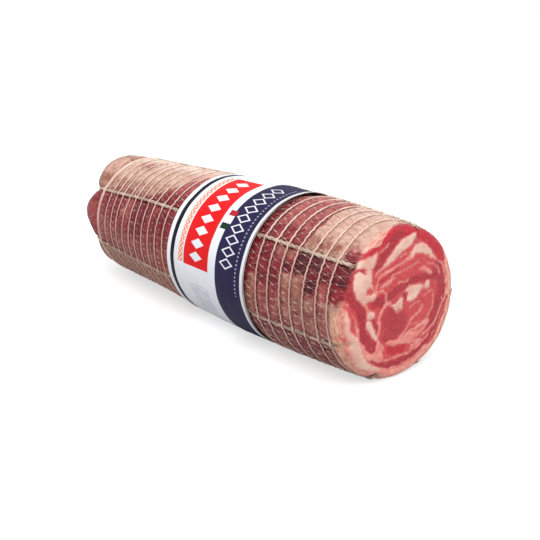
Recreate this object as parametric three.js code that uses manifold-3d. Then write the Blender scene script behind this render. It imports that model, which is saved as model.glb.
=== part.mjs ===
// Rolled pancetta lying on its side: the rolled meat, the elastic net tied round it, and a paper band.
// Millimetres, +Z up. +X points out of the cut face, and the tied end is at -X. The roll's axis is level.
// Round the roll, an angle is measured from the top towards -Y, the side that faces the viewer.
// Along the roll, a distance is measured from the cut face towards the tied end.
import * as THREE from "three";
import { mergeVertices } from "three/addons/utils/BufferGeometryUtils.js";
import Module from "manifold-3d";

const { clamp, degToRad, lerp, smoothstep } = THREE.MathUtils;

// The roll
const FACE_RADIUS = 54;
const BELLY_RADIUS = 60.3;
const TIED_RADIUS = 54.8;
const BELLY_AT = 130;
const DOME_START = 327;
const DOME_DEPTH = 31;
const DOME_POWER = 0.7; // below 1, the tied end is squarer than a ball
const AXIS_HEIGHT = 55.5;
const FACE_CROWN = 1.5;
const RIM = 4;
const RIM_EXTRA = 7; // more rounding of the rim, low on the front, where the outer fat folds over
const RIM_EXTRA_AT = 120;

const SIDE_BULGE = 5.5; // by the cut face, the roll is fuller on the side away from the viewer
const SIDE_BULGE_AT = 250;
const SIDE_BULGE_WIDTH = 65; // round the roll, in degrees
const SIDE_BULGE_REACH = 90;

// The net
const TWINES_BY_FACE = [50.5, 113, 160, 206, 266, 343]; // angles of the lengthwise twines
const TWINES_BY_TIED_END = [53.5, 107, 159, 210, 266, 345];
const TWINE_WIDTH = 2.6;
const TWINE_HEIGHT = 2;
const TWINE_END = 3;
const HOOP_WIDTH = 1.4;
const HOOP_HEIGHT = 1.3;
const LAST_HOOP_WIDTH = 3;
const HOOPS_BY_FACE = 7;
const FIRST_HOOP = 14.9;
const FACE_PITCH = 11.7;
const HOOPS_UNDER_BAND = 8;
const HOOPS_BY_TIED_END = 10;
const TIED_FIRST_HOOP = 206;
const TIED_PITCH = 11.4;
const LAST_HOOP = 323;
const GATHER_TURN = 84; // where on the tied end the twines meet in a ring, in degrees of the dome
const GATHER_HEIGHT = 2.6;

// The paper band
const BAND_NEAR = 95;
const BAND_FAR = 194;
const BAND_THICKNESS = 0.5;

// How the pieces lie on each other
const GAP = 0.45;
const TWINE_GAP = 1;
const HOOP_SINK = 1; // the hoops' valleys, below the meat between them
const TWINE_SINK = 2.1;
const STRAND_CLEAR = 0.3; // between the net and the surface that the roll lies on
const BAND_CLEAR = 0.15;
const BAND_EASE = 8; // over this length the meat draws in to pass under the band

// Lobes that the twines press into the tied end
const LOBE_RISE = 7;
const LOBE_PINCH = 4;
const HIGH_LOBE_AT = 20; // the lobes are fullest here
const LOW_LOBE_SHRINK = 0.1;
const DOME_SLANT = 9; // the tied end leans, longer at the top

// Fineness
const COLUMNS_PER_TWINE = [4, 3, 4, 4, 5, 4]; // lengthwise lines of points, from each twine to the next
const DOME_TURNS = [16, 32, 46, 58, 69, 79];
const RIM_STEPS = 3;
const FACE_RINGS = [0.35, 0.7];

function twinesAt(distance) {
  const share = clamp(distance / DOME_START, 0, 1);
  return TWINES_BY_FACE.map((angle, i) => lerp(angle, TWINES_BY_TIED_END[i], share));
}

// The angles of the lengthwise lines of points. The first line from each twine on lies on it.
function columnsAt(distance) {
  const twines = twinesAt(distance);
  return twines.flatMap((from, i) => {
    const to = i + 1 < twines.length ? twines[i + 1] : twines[0] + 360;
    const count = COLUMNS_PER_TWINE[i];
    return Array.from({ length: count }, (_, j) => lerp(from, to, j / count));
  });
}

const columnKinds = COLUMNS_PER_TWINE.flatMap((count) => ["twine", ...Array(count - 1).fill("meat")]);

// 1 under the paper band, 0 away from it.
function underBand(distance) {
  const near = smoothstep(distance, BAND_NEAR - BAND_EASE, BAND_NEAR - 1);
  const far = 1 - smoothstep(distance, BAND_FAR + 1, BAND_FAR + BAND_EASE);
  return near * far;
}

// The radius over the net and the band: a barrel, fullest at the belly.
function outerRadius(distance) {
  if (distance < BELLY_AT) {
    const away = 1 - distance / BELLY_AT;
    return BELLY_RADIUS - (BELLY_RADIUS - FACE_RADIUS) * Math.pow(away, 1.5);
  }
  const away = (distance - BELLY_AT) / (DOME_START - BELLY_AT);
  return BELLY_RADIUS - (BELLY_RADIUS - TIED_RADIUS) * Math.pow(away, 1.6);
}

// What the hoops and the band add outside the meat.
const HOOP_PROUD = GAP + HOOP_HEIGHT - HOOP_SINK;
const BAND_STACK = 2 * GAP + HOOP_HEIGHT + BAND_THICKNESS;

// Degrees between two angles, 0 to 180.
function between(angle, other) {
  return Math.abs(((((angle - other + 180) % 360) + 360) % 360) - 180);
}

// How far back the rounding of the rim reaches from the cut face.
function rimOf(angle) {
  return RIM + RIM_EXTRA * (1 - smoothstep(between(angle, RIM_EXTRA_AT), 10, 70));
}

function meatRadius(distance, angle) {
  const under = underBand(distance);
  const rim = rimOf(angle);
  const drop = rim - Math.sqrt(rim * rim - Math.pow(Math.max(rim - distance, 0), 2));
  const a = degToRad(angle);
  const uneven =
    0.6 * Math.sin(2 * a + distance / 42) +
    0.5 * Math.sin(3 * a - distance / 61 + 1) +
    0.3 * Math.sin(5 * a + distance / 23);
  const side = Math.exp(-Math.pow(between(angle, SIDE_BULGE_AT) / SIDE_BULGE_WIDTH, 2));
  const bulge = SIDE_BULGE * side * (1 - smoothstep(distance, 15, SIDE_BULGE_REACH));
  const added = lerp(HOOP_PROUD, BAND_STACK, under);
  return outerRadius(distance) - added + (uneven + bulge) * (1 - under) - drop;
}

// Heights that the meat keeps over the resting surface: by itself, over a hoop and over a twine.
const FLOORS = {
  meat: [0, BAND_CLEAR + BAND_STACK],
  hoop: [STRAND_CLEAR + HOOP_HEIGHT + GAP, BAND_CLEAR + BAND_STACK],
  twine: [
    STRAND_CLEAR + TWINE_HEIGHT + TWINE_GAP,
    BAND_CLEAR + BAND_THICKNESS + GAP + TWINE_HEIGHT + TWINE_GAP,
  ],
};

function sinkOf(kind, distance) {
  if (kind === "twine") return TWINE_SINK * smoothstep(distance, 0, TWINE_END);
  return kind === "hoop" ? HOOP_SINK * (1 - underBand(distance)) : 0;
}

// Turns a distance, an angle and a radius into a point. What would pass below floor is flattened
// there: the roll's belly settles on the surface that it lies on.
function pointAt(distance, angle, radius, floor) {
  const a = degToRad(angle);
  const z = Math.max(AXIS_HEIGHT + radius * Math.cos(a), floor);
  return new THREE.Vector3(-distance, -radius * Math.sin(a), z);
}

// A point on the barrel, lift above the meat as it lies under that kind of strand.
function barrelPoint(kind, distance, angle, lift = 0) {
  const [open, covered] = FLOORS[kind];
  const floor = lerp(open, covered, underBand(distance)) - lift;
  const grown = lift - sinkOf(kind, distance);
  return pointAt(distance, angle, meatRadius(distance, angle) + grown, floor);
}

// At the tied end, 0 on a twine and 1 halfway between two.
function betweenTwines(angle) {
  const first = TWINES_BY_TIED_END[0];
  const turned = (((angle - first) % 360) + 360) % 360;
  const stops = [...TWINES_BY_TIED_END.map((twine) => twine - first), 360];
  const next = stops.findIndex((stop) => stop > turned);
  const across = (turned - stops[next - 1]) / (stops[next] - stops[next - 1]);
  return Math.pow(Math.sin(Math.PI * across), 1.4);
}

// A point on the tied end. turn runs from 0 at the barrel to 90 at the tip.
function domePoint(kind, turn, angle, lift = 0) {
  const t = degToRad(turn);
  const along = Math.pow(Math.sin(t), DOME_POWER);
  const out = Math.pow(Math.max(Math.cos(t), 0), DOME_POWER);
  const a = degToRad(angle);
  const base = meatRadius(DOME_START, angle);
  const fullness = 0.5 + 0.5 * Math.cos(a - degToRad(HIGH_LOBE_AT));
  const radius = base * out * (1 - LOW_LOBE_SHRINK * (1 - fullness) * along);
  const distance = DOME_START + DOME_DEPTH * along + DOME_SLANT * Math.cos(a) * out * along;
  const normal = new THREE.Vector2(Math.sin(t) / DOME_DEPTH, Math.cos(t) / base).normalize();
  const lobe = lerp(-LOBE_PINCH, LOBE_RISE * fullness, betweenTwines(angle));
  const lobes = lobe * Math.sin(2 * t) * Math.cos(t / 1.6);
  const grown = lift + lobes - sinkOf(kind, DOME_START) * Math.cos(t);
  const floor = FLOORS[kind][0] - lift;
  return pointAt(distance + normal.x * grown, angle, radius + normal.y * grown, floor);
}

// Distances of the hoops, from the cut face on.
function hoopDistances() {
  const near = Array.from({ length: HOOPS_BY_FACE }, (_, i) => FIRST_HOOP + FACE_PITCH * i);
  const far = Array.from({ length: HOOPS_BY_TIED_END }, (_, i) => TIED_FIRST_HOOP + TIED_PITCH * i);
  const edge = near[near.length - 1];
  const step = (TIED_FIRST_HOOP - edge) / (HOOPS_UNDER_BAND + 1);
  const covered = Array.from({ length: HOOPS_UNDER_BAND }, (_, i) => edge + step * (i + 1));
  return [...near, ...covered, ...far, LAST_HOOP];
}

const hoops = hoopDistances();

// A hoop wanders a little along the roll as it goes round.
function hoopAt(index, angle) {
  const a = degToRad(angle);
  const wander = 0.7 * Math.sin(a + 2.3 * index) + 0.4 * Math.sin(2 * a + 1.7 * index);
  const covered = index >= HOOPS_BY_FACE && index < HOOPS_BY_FACE + HOOPS_UNDER_BAND;
  return hoops[index] + (covered ? 0 : wander);
}

// Joins rings of points into one closed skin, with a single point or a flat cap at each end.
function skin(rings) {
  const points = rings.flat();
  const faces = [];
  const starts = [];
  let count = 0;
  for (const ring of rings) {
    starts.push(count);
    count += ring.length;
  }
  for (let r = 0; r + 1 < rings.length; r++) {
    const [a, b] = [rings[r].length, rings[r + 1].length];
    for (let i = 0; i < Math.max(a, b); i++) {
      const here = starts[r] + (i % a);
      const hereNext = starts[r] + ((i + 1) % a);
      const there = starts[r + 1] + (i % b);
      const thereNext = starts[r + 1] + ((i + 1) % b);
      if (a > 1) faces.push(here, thereNext, hereNext);
      if (b > 1) faces.push(here, there, thereNext);
    }
  }
  const last = rings.length - 1;
  for (let i = 1; rings[0].length > 1 && i + 1 < rings[0].length; i++) faces.push(0, i, i + 1);
  for (let i = 1; rings[last].length > 1 && i + 1 < rings[last].length; i++) {
    faces.push(starts[last], starts[last] + i + 1, starts[last] + i);
  }
  return geometryOf(points, faces);
}

// Joins rings of points into a closed loop, such as a hoop.
function loop(sections) {
  const points = sections.flat();
  const n = sections[0].length;
  const faces = [];
  sections.forEach((_, r) => {
    const next = (r + 1) % sections.length;
    for (let i = 0; i < n; i++) {
      const j = (i + 1) % n;
      faces.push(r * n + i, r * n + j, next * n + j, r * n + i, next * n + j, next * n + i);
    }
  });
  return geometryOf(points, faces);
}

function geometryOf(points, faces) {
  const geometry = new THREE.BufferGeometry().setFromPoints(points);
  geometry.setIndex(faces);
  return geometry;
}

// The meat: face, rim, barrel with a valley under each hoop and twine, and the tied end.
function meatGeometry() {
  const centre = new THREE.Vector3(FACE_CROWN, 0, AXIS_HEIGHT);
  const rimRing = (step) =>
    columnsAt(0).map((angle, i) => {
      const t = (step / RIM_STEPS) * (Math.PI / 2);
      return barrelPoint(columnKinds[i], rimOf(angle) * (1 - Math.sin(t)), angle);
    });
  const rim = Array.from({ length: RIM_STEPS }, (_, i) => rimRing(RIM_STEPS - i));
  const face = FACE_RINGS.map((share) =>
    rim[0].map((p) => {
      const q = centre.clone().lerp(p, share);
      return q.setX(FACE_CROWN * (1 - share * share));
    }),
  );
  const ring = (kind, distance, wander) =>
    columnsAt(distance).map((angle, i) => {
      const here = columnKinds[i] === "twine" ? "twine" : kind;
      return barrelPoint(here, wander(angle), angle);
    });
  const start = (angle) => Math.max(rimOf(angle), 0.55 * hoopAt(0, angle));
  const barrel = [ring("meat", 0.55 * FIRST_HOOP, start)];
  hoops.forEach((_, i) => {
    const covered = i >= HOOPS_BY_FACE && i < HOOPS_BY_FACE + HOOPS_UNDER_BAND;
    barrel.push(ring("hoop", hoops[i], (angle) => hoopAt(i, angle)));
    if (covered && i + 1 < HOOPS_BY_FACE + HOOPS_UNDER_BAND) return;
    if (i + 1 === hoops.length) return;
    for (const share of [0.38, 0.62]) {
      const wander = (angle) => lerp(hoopAt(i, angle), hoopAt(i + 1, angle), share);
      barrel.push(ring("meat", lerp(hoops[i], hoops[i + 1], share), wander));
    }
  });
  const dome = [0, ...DOME_TURNS].map((turn) =>
    columnsAt(DOME_START).map((angle, i) => domePoint(columnKinds[i], turn, angle)),
  );
  const tip = domePoint("meat", 90, 0);
  return skin([[centre], ...face, ...rim, ...barrel, ...dome, [tip.setY(0)]]);
}

// One hoop: a three-sided section, flat towards the meat, swept round the roll.
function hoopGeometry(index) {
  const half = (index === hoops.length - 1 ? LAST_HOOP_WIDTH : HOOP_WIDTH) / 2;
  const sections = columnsAt(hoops[index]).map((angle) => {
    const distance = hoopAt(index, angle);
    const at = (side, lift) => {
      const p = barrelPoint("hoop", distance, angle, lift);
      return p.setX(p.x - side);
    };
    return [at(-half, GAP), at(0, GAP + HOOP_HEIGHT), at(half, GAP)];
  });
  return loop(sections);
}

// The section of a twine: a flat-bottomed arch, given as sideways and upward shares.
const ARCH = [
  [-1, 0],
  [-0.5, 1],
  [0.5, 1],
  [1, 0],
];

// The distances at which a twine bends to follow the meat.
const TWINE_STOPS = [
  TWINE_END,
  0.55 * FIRST_HOOP,
  ...hoops.filter((_, i) => i < HOOPS_BY_FACE && i % 2 === 0),
  BAND_NEAR - 1,
  lerp(BAND_NEAR, BAND_FAR, 0.33),
  lerp(BAND_NEAR, BAND_FAR, 0.67),
  BAND_FAR + 1,
  BAND_FAR + BAND_EASE,
  ...hoops.filter((_, i) => i >= HOOPS_BY_FACE + HOOPS_UNDER_BAND && i % 2),
  DOME_START,
];

function twineGeometry(index) {
  const section = (angle, radius, place) =>
    ARCH.map(([side, up]) => {
      const turn = THREE.MathUtils.radToDeg((side * TWINE_WIDTH) / 2 / radius);
      return place(angle + turn, TWINE_GAP + up * TWINE_HEIGHT);
    });
  const barrel = TWINE_STOPS.map((distance) => {
    const angle = twinesAt(distance)[index];
    const place = (at, lift) => barrelPoint("twine", distance, at, lift);
    return section(angle, meatRadius(distance, angle), place);
  });
  const dome = [...DOME_TURNS, GATHER_TURN].map((turn) => {
    const angle = TWINES_BY_TIED_END[index];
    const radius = FACE_RADIUS * Math.pow(Math.cos(degToRad(turn)), DOME_POWER);
    return section(angle, radius, (at, lift) => domeTwinePoint(turn, at, angle, lift));
  });
  return skin([...barrel, ...dome]);
}

// The twine's own sides keep the pinch of its middle line, so that it doesn't climb the lobes.
function domeTwinePoint(turn, angle, middle, lift) {
  const p = domePoint("twine", turn, middle, lift);
  const a = degToRad(angle - middle);
  const y = p.y;
  const z = p.z - AXIS_HEIGHT;
  p.y = y * Math.cos(a) - z * Math.sin(a);
  p.z = Math.max(AXIS_HEIGHT + y * Math.sin(a) + z * Math.cos(a), STRAND_CLEAR);
  return p;
}

// The ring in which the twines meet at the tied end.
function gatherGeometry() {
  const turns = [GATHER_TURN - 1.5, GATHER_TURN, GATHER_TURN + 2];
  const sections = Array.from({ length: 12 }, (_, i) =>
    turns.map((turn, j) => {
      const p = domePoint("meat", turn, TWINES_BY_TIED_END[0] + 30 * i);
      return p.setX(p.x - (j === 1 ? GAP + GATHER_HEIGHT : GAP));
    }),
  );
  return loop(sections);
}

function bandGeometry() {
  const stations = [BAND_NEAR, lerp(BAND_NEAR, BAND_FAR, 0.35), lerp(BAND_NEAR, BAND_FAR, 0.7), BAND_FAR];
  const inner = BAND_STACK - BAND_THICKNESS;
  const point = (distance, i, lift) => barrelPoint("meat", distance, columnsAt(distance)[i], lift);
  const sections = columnKinds.map((_, i) => [
    ...stations.map((distance) => point(distance, i, BAND_STACK)),
    ...stations.toReversed().map((distance) => point(distance, i, inner)),
  ]);
  return loop(sections);
}

const wasm = await Module();
wasm.setup();

function toSolid(geometry) {
  const merged = mergeVertices(geometry, 1e-4);
  const made = new wasm.Manifold(
    new wasm.Mesh({
      numProp: 3,
      vertProperties: merged.attributes.position.array,
      triVerts: new Uint32Array(merged.index.array),
    }),
  );
  if (made.volume() <= 0) throw new Error("a net strand is inside out");
  return made;
}

function fromSolid(solid) {
  const mesh = solid.getMesh();
  const points = [];
  for (let i = 0; i < mesh.numVert; i++) {
    const at = i * mesh.numProp;
    points.push(new THREE.Vector3(...mesh.vertProperties.subarray(at, at + 3)));
  }
  return geometryOf(points, [...mesh.triVerts]);
}

// The net: hoops, twines and the ring at the tied end, knitted into one piece.
function netGeometry() {
  const strands = [
    ...hoops.map((_, i) => hoopGeometry(i)),
    ...TWINES_BY_FACE.map((_, i) => twineGeometry(i)),
    gatherGeometry(),
  ];
  return fromSolid(strands.map(toSolid).reduce((joined, strand) => joined.add(strand)));
}

const meatMaterial = new THREE.MeshStandardMaterial({ color: 0xa8484a, roughness: 0.5, metalness: 0 });
const netMaterial = new THREE.MeshStandardMaterial({ color: 0xd8c4ae, roughness: 0.85, metalness: 0 });
const bandMaterial = new THREE.MeshStandardMaterial({ color: 0xe8eaf0, roughness: 0.45, metalness: 0 });

function piece(name, geometry, material) {
  geometry.computeVertexNormals();
  const mesh = new THREE.Mesh(geometry, material);
  mesh.name = name;
  return mesh;
}

const pancetta = new THREE.Group();
pancetta.add(piece("meat", meatGeometry(), meatMaterial));
pancetta.add(piece("net", netGeometry(), netMaterial));
pancetta.add(piece("band", bandGeometry(), bandMaterial));

// The origin is at the middle of the underside.
const box = new THREE.Box3().setFromObject(pancetta);
pancetta.position.set(-(box.min.x + box.max.x) / 2, -(box.min.y + box.max.y) / 2, -box.min.z);

export default pancetta;
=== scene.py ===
import math
import random
import bpy
import numpy as np
from mathutils import Matrix, Vector, noise


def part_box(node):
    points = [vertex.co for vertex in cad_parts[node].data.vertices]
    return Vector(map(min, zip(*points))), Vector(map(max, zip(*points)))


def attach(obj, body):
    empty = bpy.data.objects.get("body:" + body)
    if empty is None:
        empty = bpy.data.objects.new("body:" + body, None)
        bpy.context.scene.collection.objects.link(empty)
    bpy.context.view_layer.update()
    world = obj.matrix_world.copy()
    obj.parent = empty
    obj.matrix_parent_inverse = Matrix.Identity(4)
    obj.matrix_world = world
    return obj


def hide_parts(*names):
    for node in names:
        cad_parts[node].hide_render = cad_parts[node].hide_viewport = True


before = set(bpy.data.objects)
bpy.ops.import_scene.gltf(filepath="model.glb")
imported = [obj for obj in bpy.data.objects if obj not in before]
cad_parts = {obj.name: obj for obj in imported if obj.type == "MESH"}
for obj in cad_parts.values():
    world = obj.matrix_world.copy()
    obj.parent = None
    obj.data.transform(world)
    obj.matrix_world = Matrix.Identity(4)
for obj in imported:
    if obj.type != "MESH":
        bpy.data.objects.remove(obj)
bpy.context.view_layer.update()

# A rolled pancetta on its side: the meat with its marbled cut face, the net tied round it, and a
# printed paper band. Lengths are in millimetres until a mesh is made. Round the roll, an angle a is
# measured from the top towards the side that faces the viewer. Along it, a distance d is measured
# from the cut face towards the tied end.

# The roll's shape, as in the CAD source
FACE_CROWN = 1.5
FACE_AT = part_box("meat")[1].x * 1000 - FACE_CROWN
AXIS_Y = -0.302
AXIS_HEIGHT = 55.5
FACE_MIDDLE = np.array([FACE_AT, AXIS_Y, AXIS_HEIGHT])
FACE_RADIUS = 54
BELLY_RADIUS = 60.3
BELLY_AT = 130
TIED_RADIUS = 54.8
SIDE_BULGE = 5.5
RIM = 4
LOW_RIM = 7
DOME_START = 327
DOME_DEPTH = 31
TWINES_BY_FACE = np.array([50.5, 114, 160, 206, 266, 343])
TWINES_BY_TIED_END = np.array([53.5, 108, 159, 210, 266, 345])
TWINE_STARTS = [5.0, 12.5, 2.5, 2.5, 2.5, 2.5]
TWINES = len(TWINE_STARTS)
NEAR_HOOPS = [14.9 + 11.7 * i for i in range(7)]
COVERED_HOOPS = [NEAR_HOOPS[-1] + (206 - NEAR_HOOPS[-1]) / 9 * (i + 1) for i in range(8)]
FAR_HOOPS = [206 + 11.4 * i for i in range(10)]
HOOPS = NEAR_HOOPS + COVERED_HOOPS + FAR_HOOPS + [323]
FIRST_COVERED = len(NEAR_HOOPS)
FIRST_FAR = FIRST_COVERED + len(COVERED_HOOPS)
THREAD_PITCH = 360 / 66
TWINE_YARN = 0.92
TWINE_TURN = 10.5
BAND_NEAR = 95
BAND_FAR = 194
BAND_SEAM = 205
BAND_OVERLAP = 14.0
PAPER = 0.32
# How far the net stays above the surface that the roll lies on, and how softly the roll settles on it
CLEAR_OF_FLOOR = 0.6
SOFTNESS = 0.6


# Small helpers

def ease(x, low, high):
    t = np.clip((np.asarray(x, float) - low) / (high - low), 0, 1)
    return t * t * (3 - 2 * t)


def plateau(x, rise, full, fall, gone):
    """0 up to rise, 1 from full to fall, and 0 from gone on."""
    return ease(x, rise, full) * (1 - ease(x, fall, gone))


def bell(x, width):
    return np.exp(-((x / width) ** 2))


def mix(a, b, t):
    return a + (b - a) * t


def unit(v):
    return v / (np.linalg.norm(v, axis=-1, keepdims=True) + 1e-9)


def turn_between(a, b):
    return np.abs((a - b + 180) % 360 - 180)


def paint(red, green, blue):
    """A colour as a printer names it, 0 to 255, for a shader's socket."""
    def one(c):
        c /= 255
        return c / 12.92 if c <= 0.04045 else ((c + 0.055) / 1.055) ** 2.4
    return (one(red), one(green), one(blue), 1.0)


def wavy(points, scale, seed):
    """Smooth noise, about -1 to 1, at each point. scale is the size of its features in mm."""
    shift = Vector((seed * 17.3, seed * 5.1, seed * 9.7))
    flat = np.asarray(points, float).reshape(-1, 3) / scale
    out = [noise.noise(Vector(p) + shift) for p in flat.tolist()]
    return np.array(out).reshape(np.asarray(points).shape[:-1]) * 1.6


# Places on the roll

def under_band(d):
    return plateau(d, BAND_NEAR - 8, BAND_NEAR - 1, BAND_FAR + 1, BAND_FAR + 8)


def outer_radius(d):
    d = np.asarray(d, float)
    near = BELLY_RADIUS - (BELLY_RADIUS - FACE_RADIUS) * np.power(np.clip(1 - d / BELLY_AT, 0, 1), 1.5)
    beyond = np.clip((d - BELLY_AT) / (DOME_START - BELLY_AT), 0, 2)
    far = BELLY_RADIUS - (BELLY_RADIUS - TIED_RADIUS) * np.power(beyond, 1.6)
    return np.where(d < BELLY_AT, near, far)


def rim_of(a):
    return RIM + LOW_RIM * (1 - ease(turn_between(a, 120), 10, 70))


def meat_radius(d, a):
    under = under_band(d)
    rim = rim_of(a)
    drop = rim - np.sqrt(np.maximum(rim**2 - np.maximum(rim - d, 0) ** 2, 0))
    r = np.radians(a)
    uneven = 0.6 * np.sin(2 * r + d / 42) + 0.5 * np.sin(3 * r - d / 61 + 1) + 0.3 * np.sin(5 * r + d / 23)
    bulge = SIDE_BULGE * bell(turn_between(a, 250), 65) * (1 - ease(d, 15, 90))
    return outer_radius(d) - mix(0.75, 2.7, under) + (uneven + bulge) * (1 - under) - drop


def is_covered(i):
    return FIRST_COVERED <= i < FIRST_FAR


def hoop_at(i, a):
    """Distance of a hoop. The net is drawn a little towards the cut face, low on the front."""
    r = np.radians(a)
    wander = 0.7 * np.sin(r + 2.3 * i) + 0.4 * np.sin(2 * r + 1.7 * i)
    low = plateau(np.asarray(a) % 360, 50, 90, 170, 250)
    return HOOPS[i] + (0 if is_covered(i) else 1) * (wander * 0.8 - 1.5 * low)


def twine_at(k, d):
    return mix(TWINES_BY_FACE[k], TWINES_BY_TIED_END[k], np.clip(d / DOME_START, 0, 1))


def to_twine(d, a):
    """Degrees round the roll to the nearest twine."""
    return np.min([turn_between(a, twine_at(k, d)) for k in range(TWINES)], axis=0)


def to_hoop(d, a):
    return np.min([np.abs(d - hoop_at(i, a)) for i in range(len(HOOPS))], axis=0)


def between_twines(a):
    """How full a lobe of the tied end is: 0 at a twine, 1 midway between two."""
    turned = (a - TWINES_BY_TIED_END[0]) % 360
    stops = np.append(TWINES_BY_TIED_END - TWINES_BY_TIED_END[0], 360)
    k = np.clip(np.searchsorted(stops, turned, side="right"), 1, TWINES)
    across = (turned - stops[k - 1]) / (stops[k] - stops[k - 1])
    fuller = np.where(k == TWINES, 0.65, 1.4)
    return np.power(np.maximum(np.sin(np.pi * across), 0), fuller)


def place(d, a, radius, floor=0.0):
    """Distance, angle and radius to row coordinates. The belly settles on the surface it lies on."""
    r = np.radians(a)
    z = AXIS_HEIGHT + radius * np.cos(r)
    low = floor + SOFTNESS
    z = np.where(z < low, floor + SOFTNESS * np.exp(np.minimum((z - low) / SOFTNESS, 0)), z)
    d, y = np.broadcast_arrays(d, -radius * np.sin(r))
    return np.stack([FACE_AT - d, AXIS_Y + y, np.broadcast_to(z, y.shape)], axis=-1)


def barrel_point(d, a, lift=0.0, floor=0.0):
    return place(d, a, meat_radius(d, a) + lift, floor)


def dome_point(turn, a, lift=0.0, pinch=0.0, floor=0.0):
    """A point on the tied end. turn is 0 at the barrel and 90 at the tip."""
    t, r = np.radians(turn), np.radians(a)
    along, out = np.power(np.sin(t), 0.7), np.power(np.maximum(np.cos(t), 0), 0.7)
    base = meat_radius(DOME_START, a)
    fullness = 0.5 + 0.5 * np.cos(r - np.radians(20))
    radius = base * out * (1 - 0.1 * (1 - fullness) * along)
    d = DOME_START + DOME_DEPTH * along + 9 * np.cos(r) * out * along
    nx, nr = np.sin(t) / DOME_DEPTH, np.cos(t) / base
    size = np.hypot(nx, nr)
    lobe = mix(-4, 7 * fullness, between_twines(a)) * np.sin(2 * t) * np.cos(t / 1.6)
    grown = lift + lobe - pinch * np.cos(t)
    return place(d + nx / size * grown, a, radius + nr / size * grown, floor)


def outward_of(points):
    """Straight out from the roll's axis."""
    out = points - FACE_MIDDLE
    out[..., 0] = 0
    return unit(out)


# Mesh making

def make_mesh(name, points, quads, triangles=(), values=None):
    """points are in mm, and values holds named numbers or directions, one for each point."""
    mesh = bpy.data.meshes.new(name)
    faces = quads.tolist() + np.asarray(triangles, int).reshape(-1, 3).tolist()
    mesh.from_pydata((points.reshape(-1, 3) * 0.001).tolist(), [], faces)
    for key, value in (values or {}).items():
        kind, field = ("FLOAT", "value") if value.ndim == 1 else ("FLOAT_VECTOR", "vector")
        data = mesh.attributes.new(key, kind, "POINT").data
        data.foreach_set(field, np.asarray(value, np.float32).ravel())
    mesh.polygons.foreach_set("use_smooth", [True] * len(mesh.polygons))
    mesh.update()
    piece = bpy.data.objects.new(name, mesh)
    bpy.context.scene.collection.objects.link(piece)
    return piece


def ring_quads(grid):
    """Faces between closed rings of points. Each row of grid is a ring."""
    right = np.roll(grid, -1, axis=1)
    return np.stack([grid[:-1], grid[1:], right[1:], right[:-1]], axis=-1).reshape(-1, 4)


def strands(paths, outward, radius, sides, closed=False, flat=1.0):
    """Round strands along several paths at once. paths and outward are (strand, point, xyz).
    Gives points, quads, triangles and the run and twist that the yarn materials read."""
    count, length, _ = paths.shape
    radius = np.broadcast_to(radius, (count, length))[..., None, None]
    if closed:
        along = unit(np.roll(paths, -1, 1) - np.roll(paths, 1, 1))
    else:
        along = unit(np.gradient(paths, axis=1))
    across = unit(np.cross(along, outward))
    up = np.cross(across, along)
    turn = np.arange(sides) * 2 * np.pi / sides
    ring = np.cos(turn)[:, None] * up[:, :, None] * flat + np.sin(turn)[:, None] * across[:, :, None]
    points = (paths[:, :, None] + radius * ring).reshape(-1, 3)
    step = np.linalg.norm(np.diff(paths, axis=1), axis=-1)
    run = np.concatenate([np.zeros((count, 1)), np.cumsum(step, axis=1)], axis=1)
    twist = np.stack([np.cos(turn), np.sin(turn), np.zeros(sides)], axis=-1)
    values = {
        "run": np.repeat(run.ravel(), sides),
        "twist": np.tile(twist, (count * length, 1)),
        "which": np.repeat(np.arange(count) * 0.37 % 1, length * sides),
    }
    rings = np.arange(count * length * sides).reshape(count, length, sides)
    if closed:
        rings = np.concatenate([rings, rings[:, :1]], axis=1)
    quads = np.concatenate([ring_quads(one) for one in rings])[:, [0, 3, 2, 1]]
    if closed:
        return points, quads, np.zeros((0, 3), int), values
    # Each end is closed with a low cone
    reach = along * radius[..., 0] * 0.7
    tips = np.stack([paths[:, 0] - reach[:, 0], paths[:, -1] + reach[:, -1]], axis=1).reshape(-1, 3)
    tip_at = len(points) + np.arange(count)[:, None] * 2 + np.zeros(sides, int)
    for key, value in values.items():
        tail = value.reshape(count, length * sides, *value.shape[1:])[:, [0, -1]]
        values[key] = np.concatenate([value, tail.reshape(count * 2, *value.shape[1:])])
    first, last = rings[:, 0], rings[:, -1]
    head = np.stack([tip_at, np.roll(first, -1, axis=1), first], axis=-1)
    tail = np.stack([tip_at + 1, last, np.roll(last, -1, axis=1)], axis=-1)
    return np.concatenate([points, tips]), quads, np.concatenate([head, tail]).reshape(-1, 3), values


def yarn_mesh(name, parts):
    """One piece from several results of strands, with a stain from the meat and painted shade round its
    sides.
    """
    base, quads, triangles = 0, [], []
    for points, some_quads, some_triangles, _ in parts:
        quads.append(some_quads + base)
        triangles.append(some_triangles + base)
        base += len(points)
    points = np.concatenate([part[0] for part in parts])
    values = {key: np.concatenate([part[3][key] for part in parts]) for key in parts[0][3]}
    a = np.abs(np.degrees(np.arctan2(AXIS_Y - points[:, 1], points[:, 2] - AXIS_HEIGHT)))
    # Darker and redder round the sides than on top: partly a stain from the meat, partly painted shade
    values["stain_and_side_shade"] = ease(a, 34, 74) * (1 - 0.4 * ease(a, 95, 118))
    return make_mesh(name, points, np.concatenate(quads), np.concatenate(triangles), values)


def smooth_path(numbers, steps=5, closed=False):
    """A rounded curve through points that are given as across, up, across, up and so on."""
    p = np.array(numbers, float).reshape(-1, 2)
    if closed:
        p = np.concatenate([p[-1:], p, p[:2]])
    else:
        p = np.concatenate([2 * p[:1] - p[1:2], p, 2 * p[-1:] - p[-2:-1]])
    out = []
    for a, b, c, e in zip(p, p[1:], p[2:], p[3:]):
        for t in np.arange(steps) / steps:
            bend, twist = 2 * a - 5 * b + 4 * c - e, 3 * b - a - 3 * c + e
            out.append(0.5 * (2 * b + (c - a) * t + bend * t**2 + twist * t**3))
    if not closed:
        out.append(p[-2])
    return np.array(out)


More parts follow.
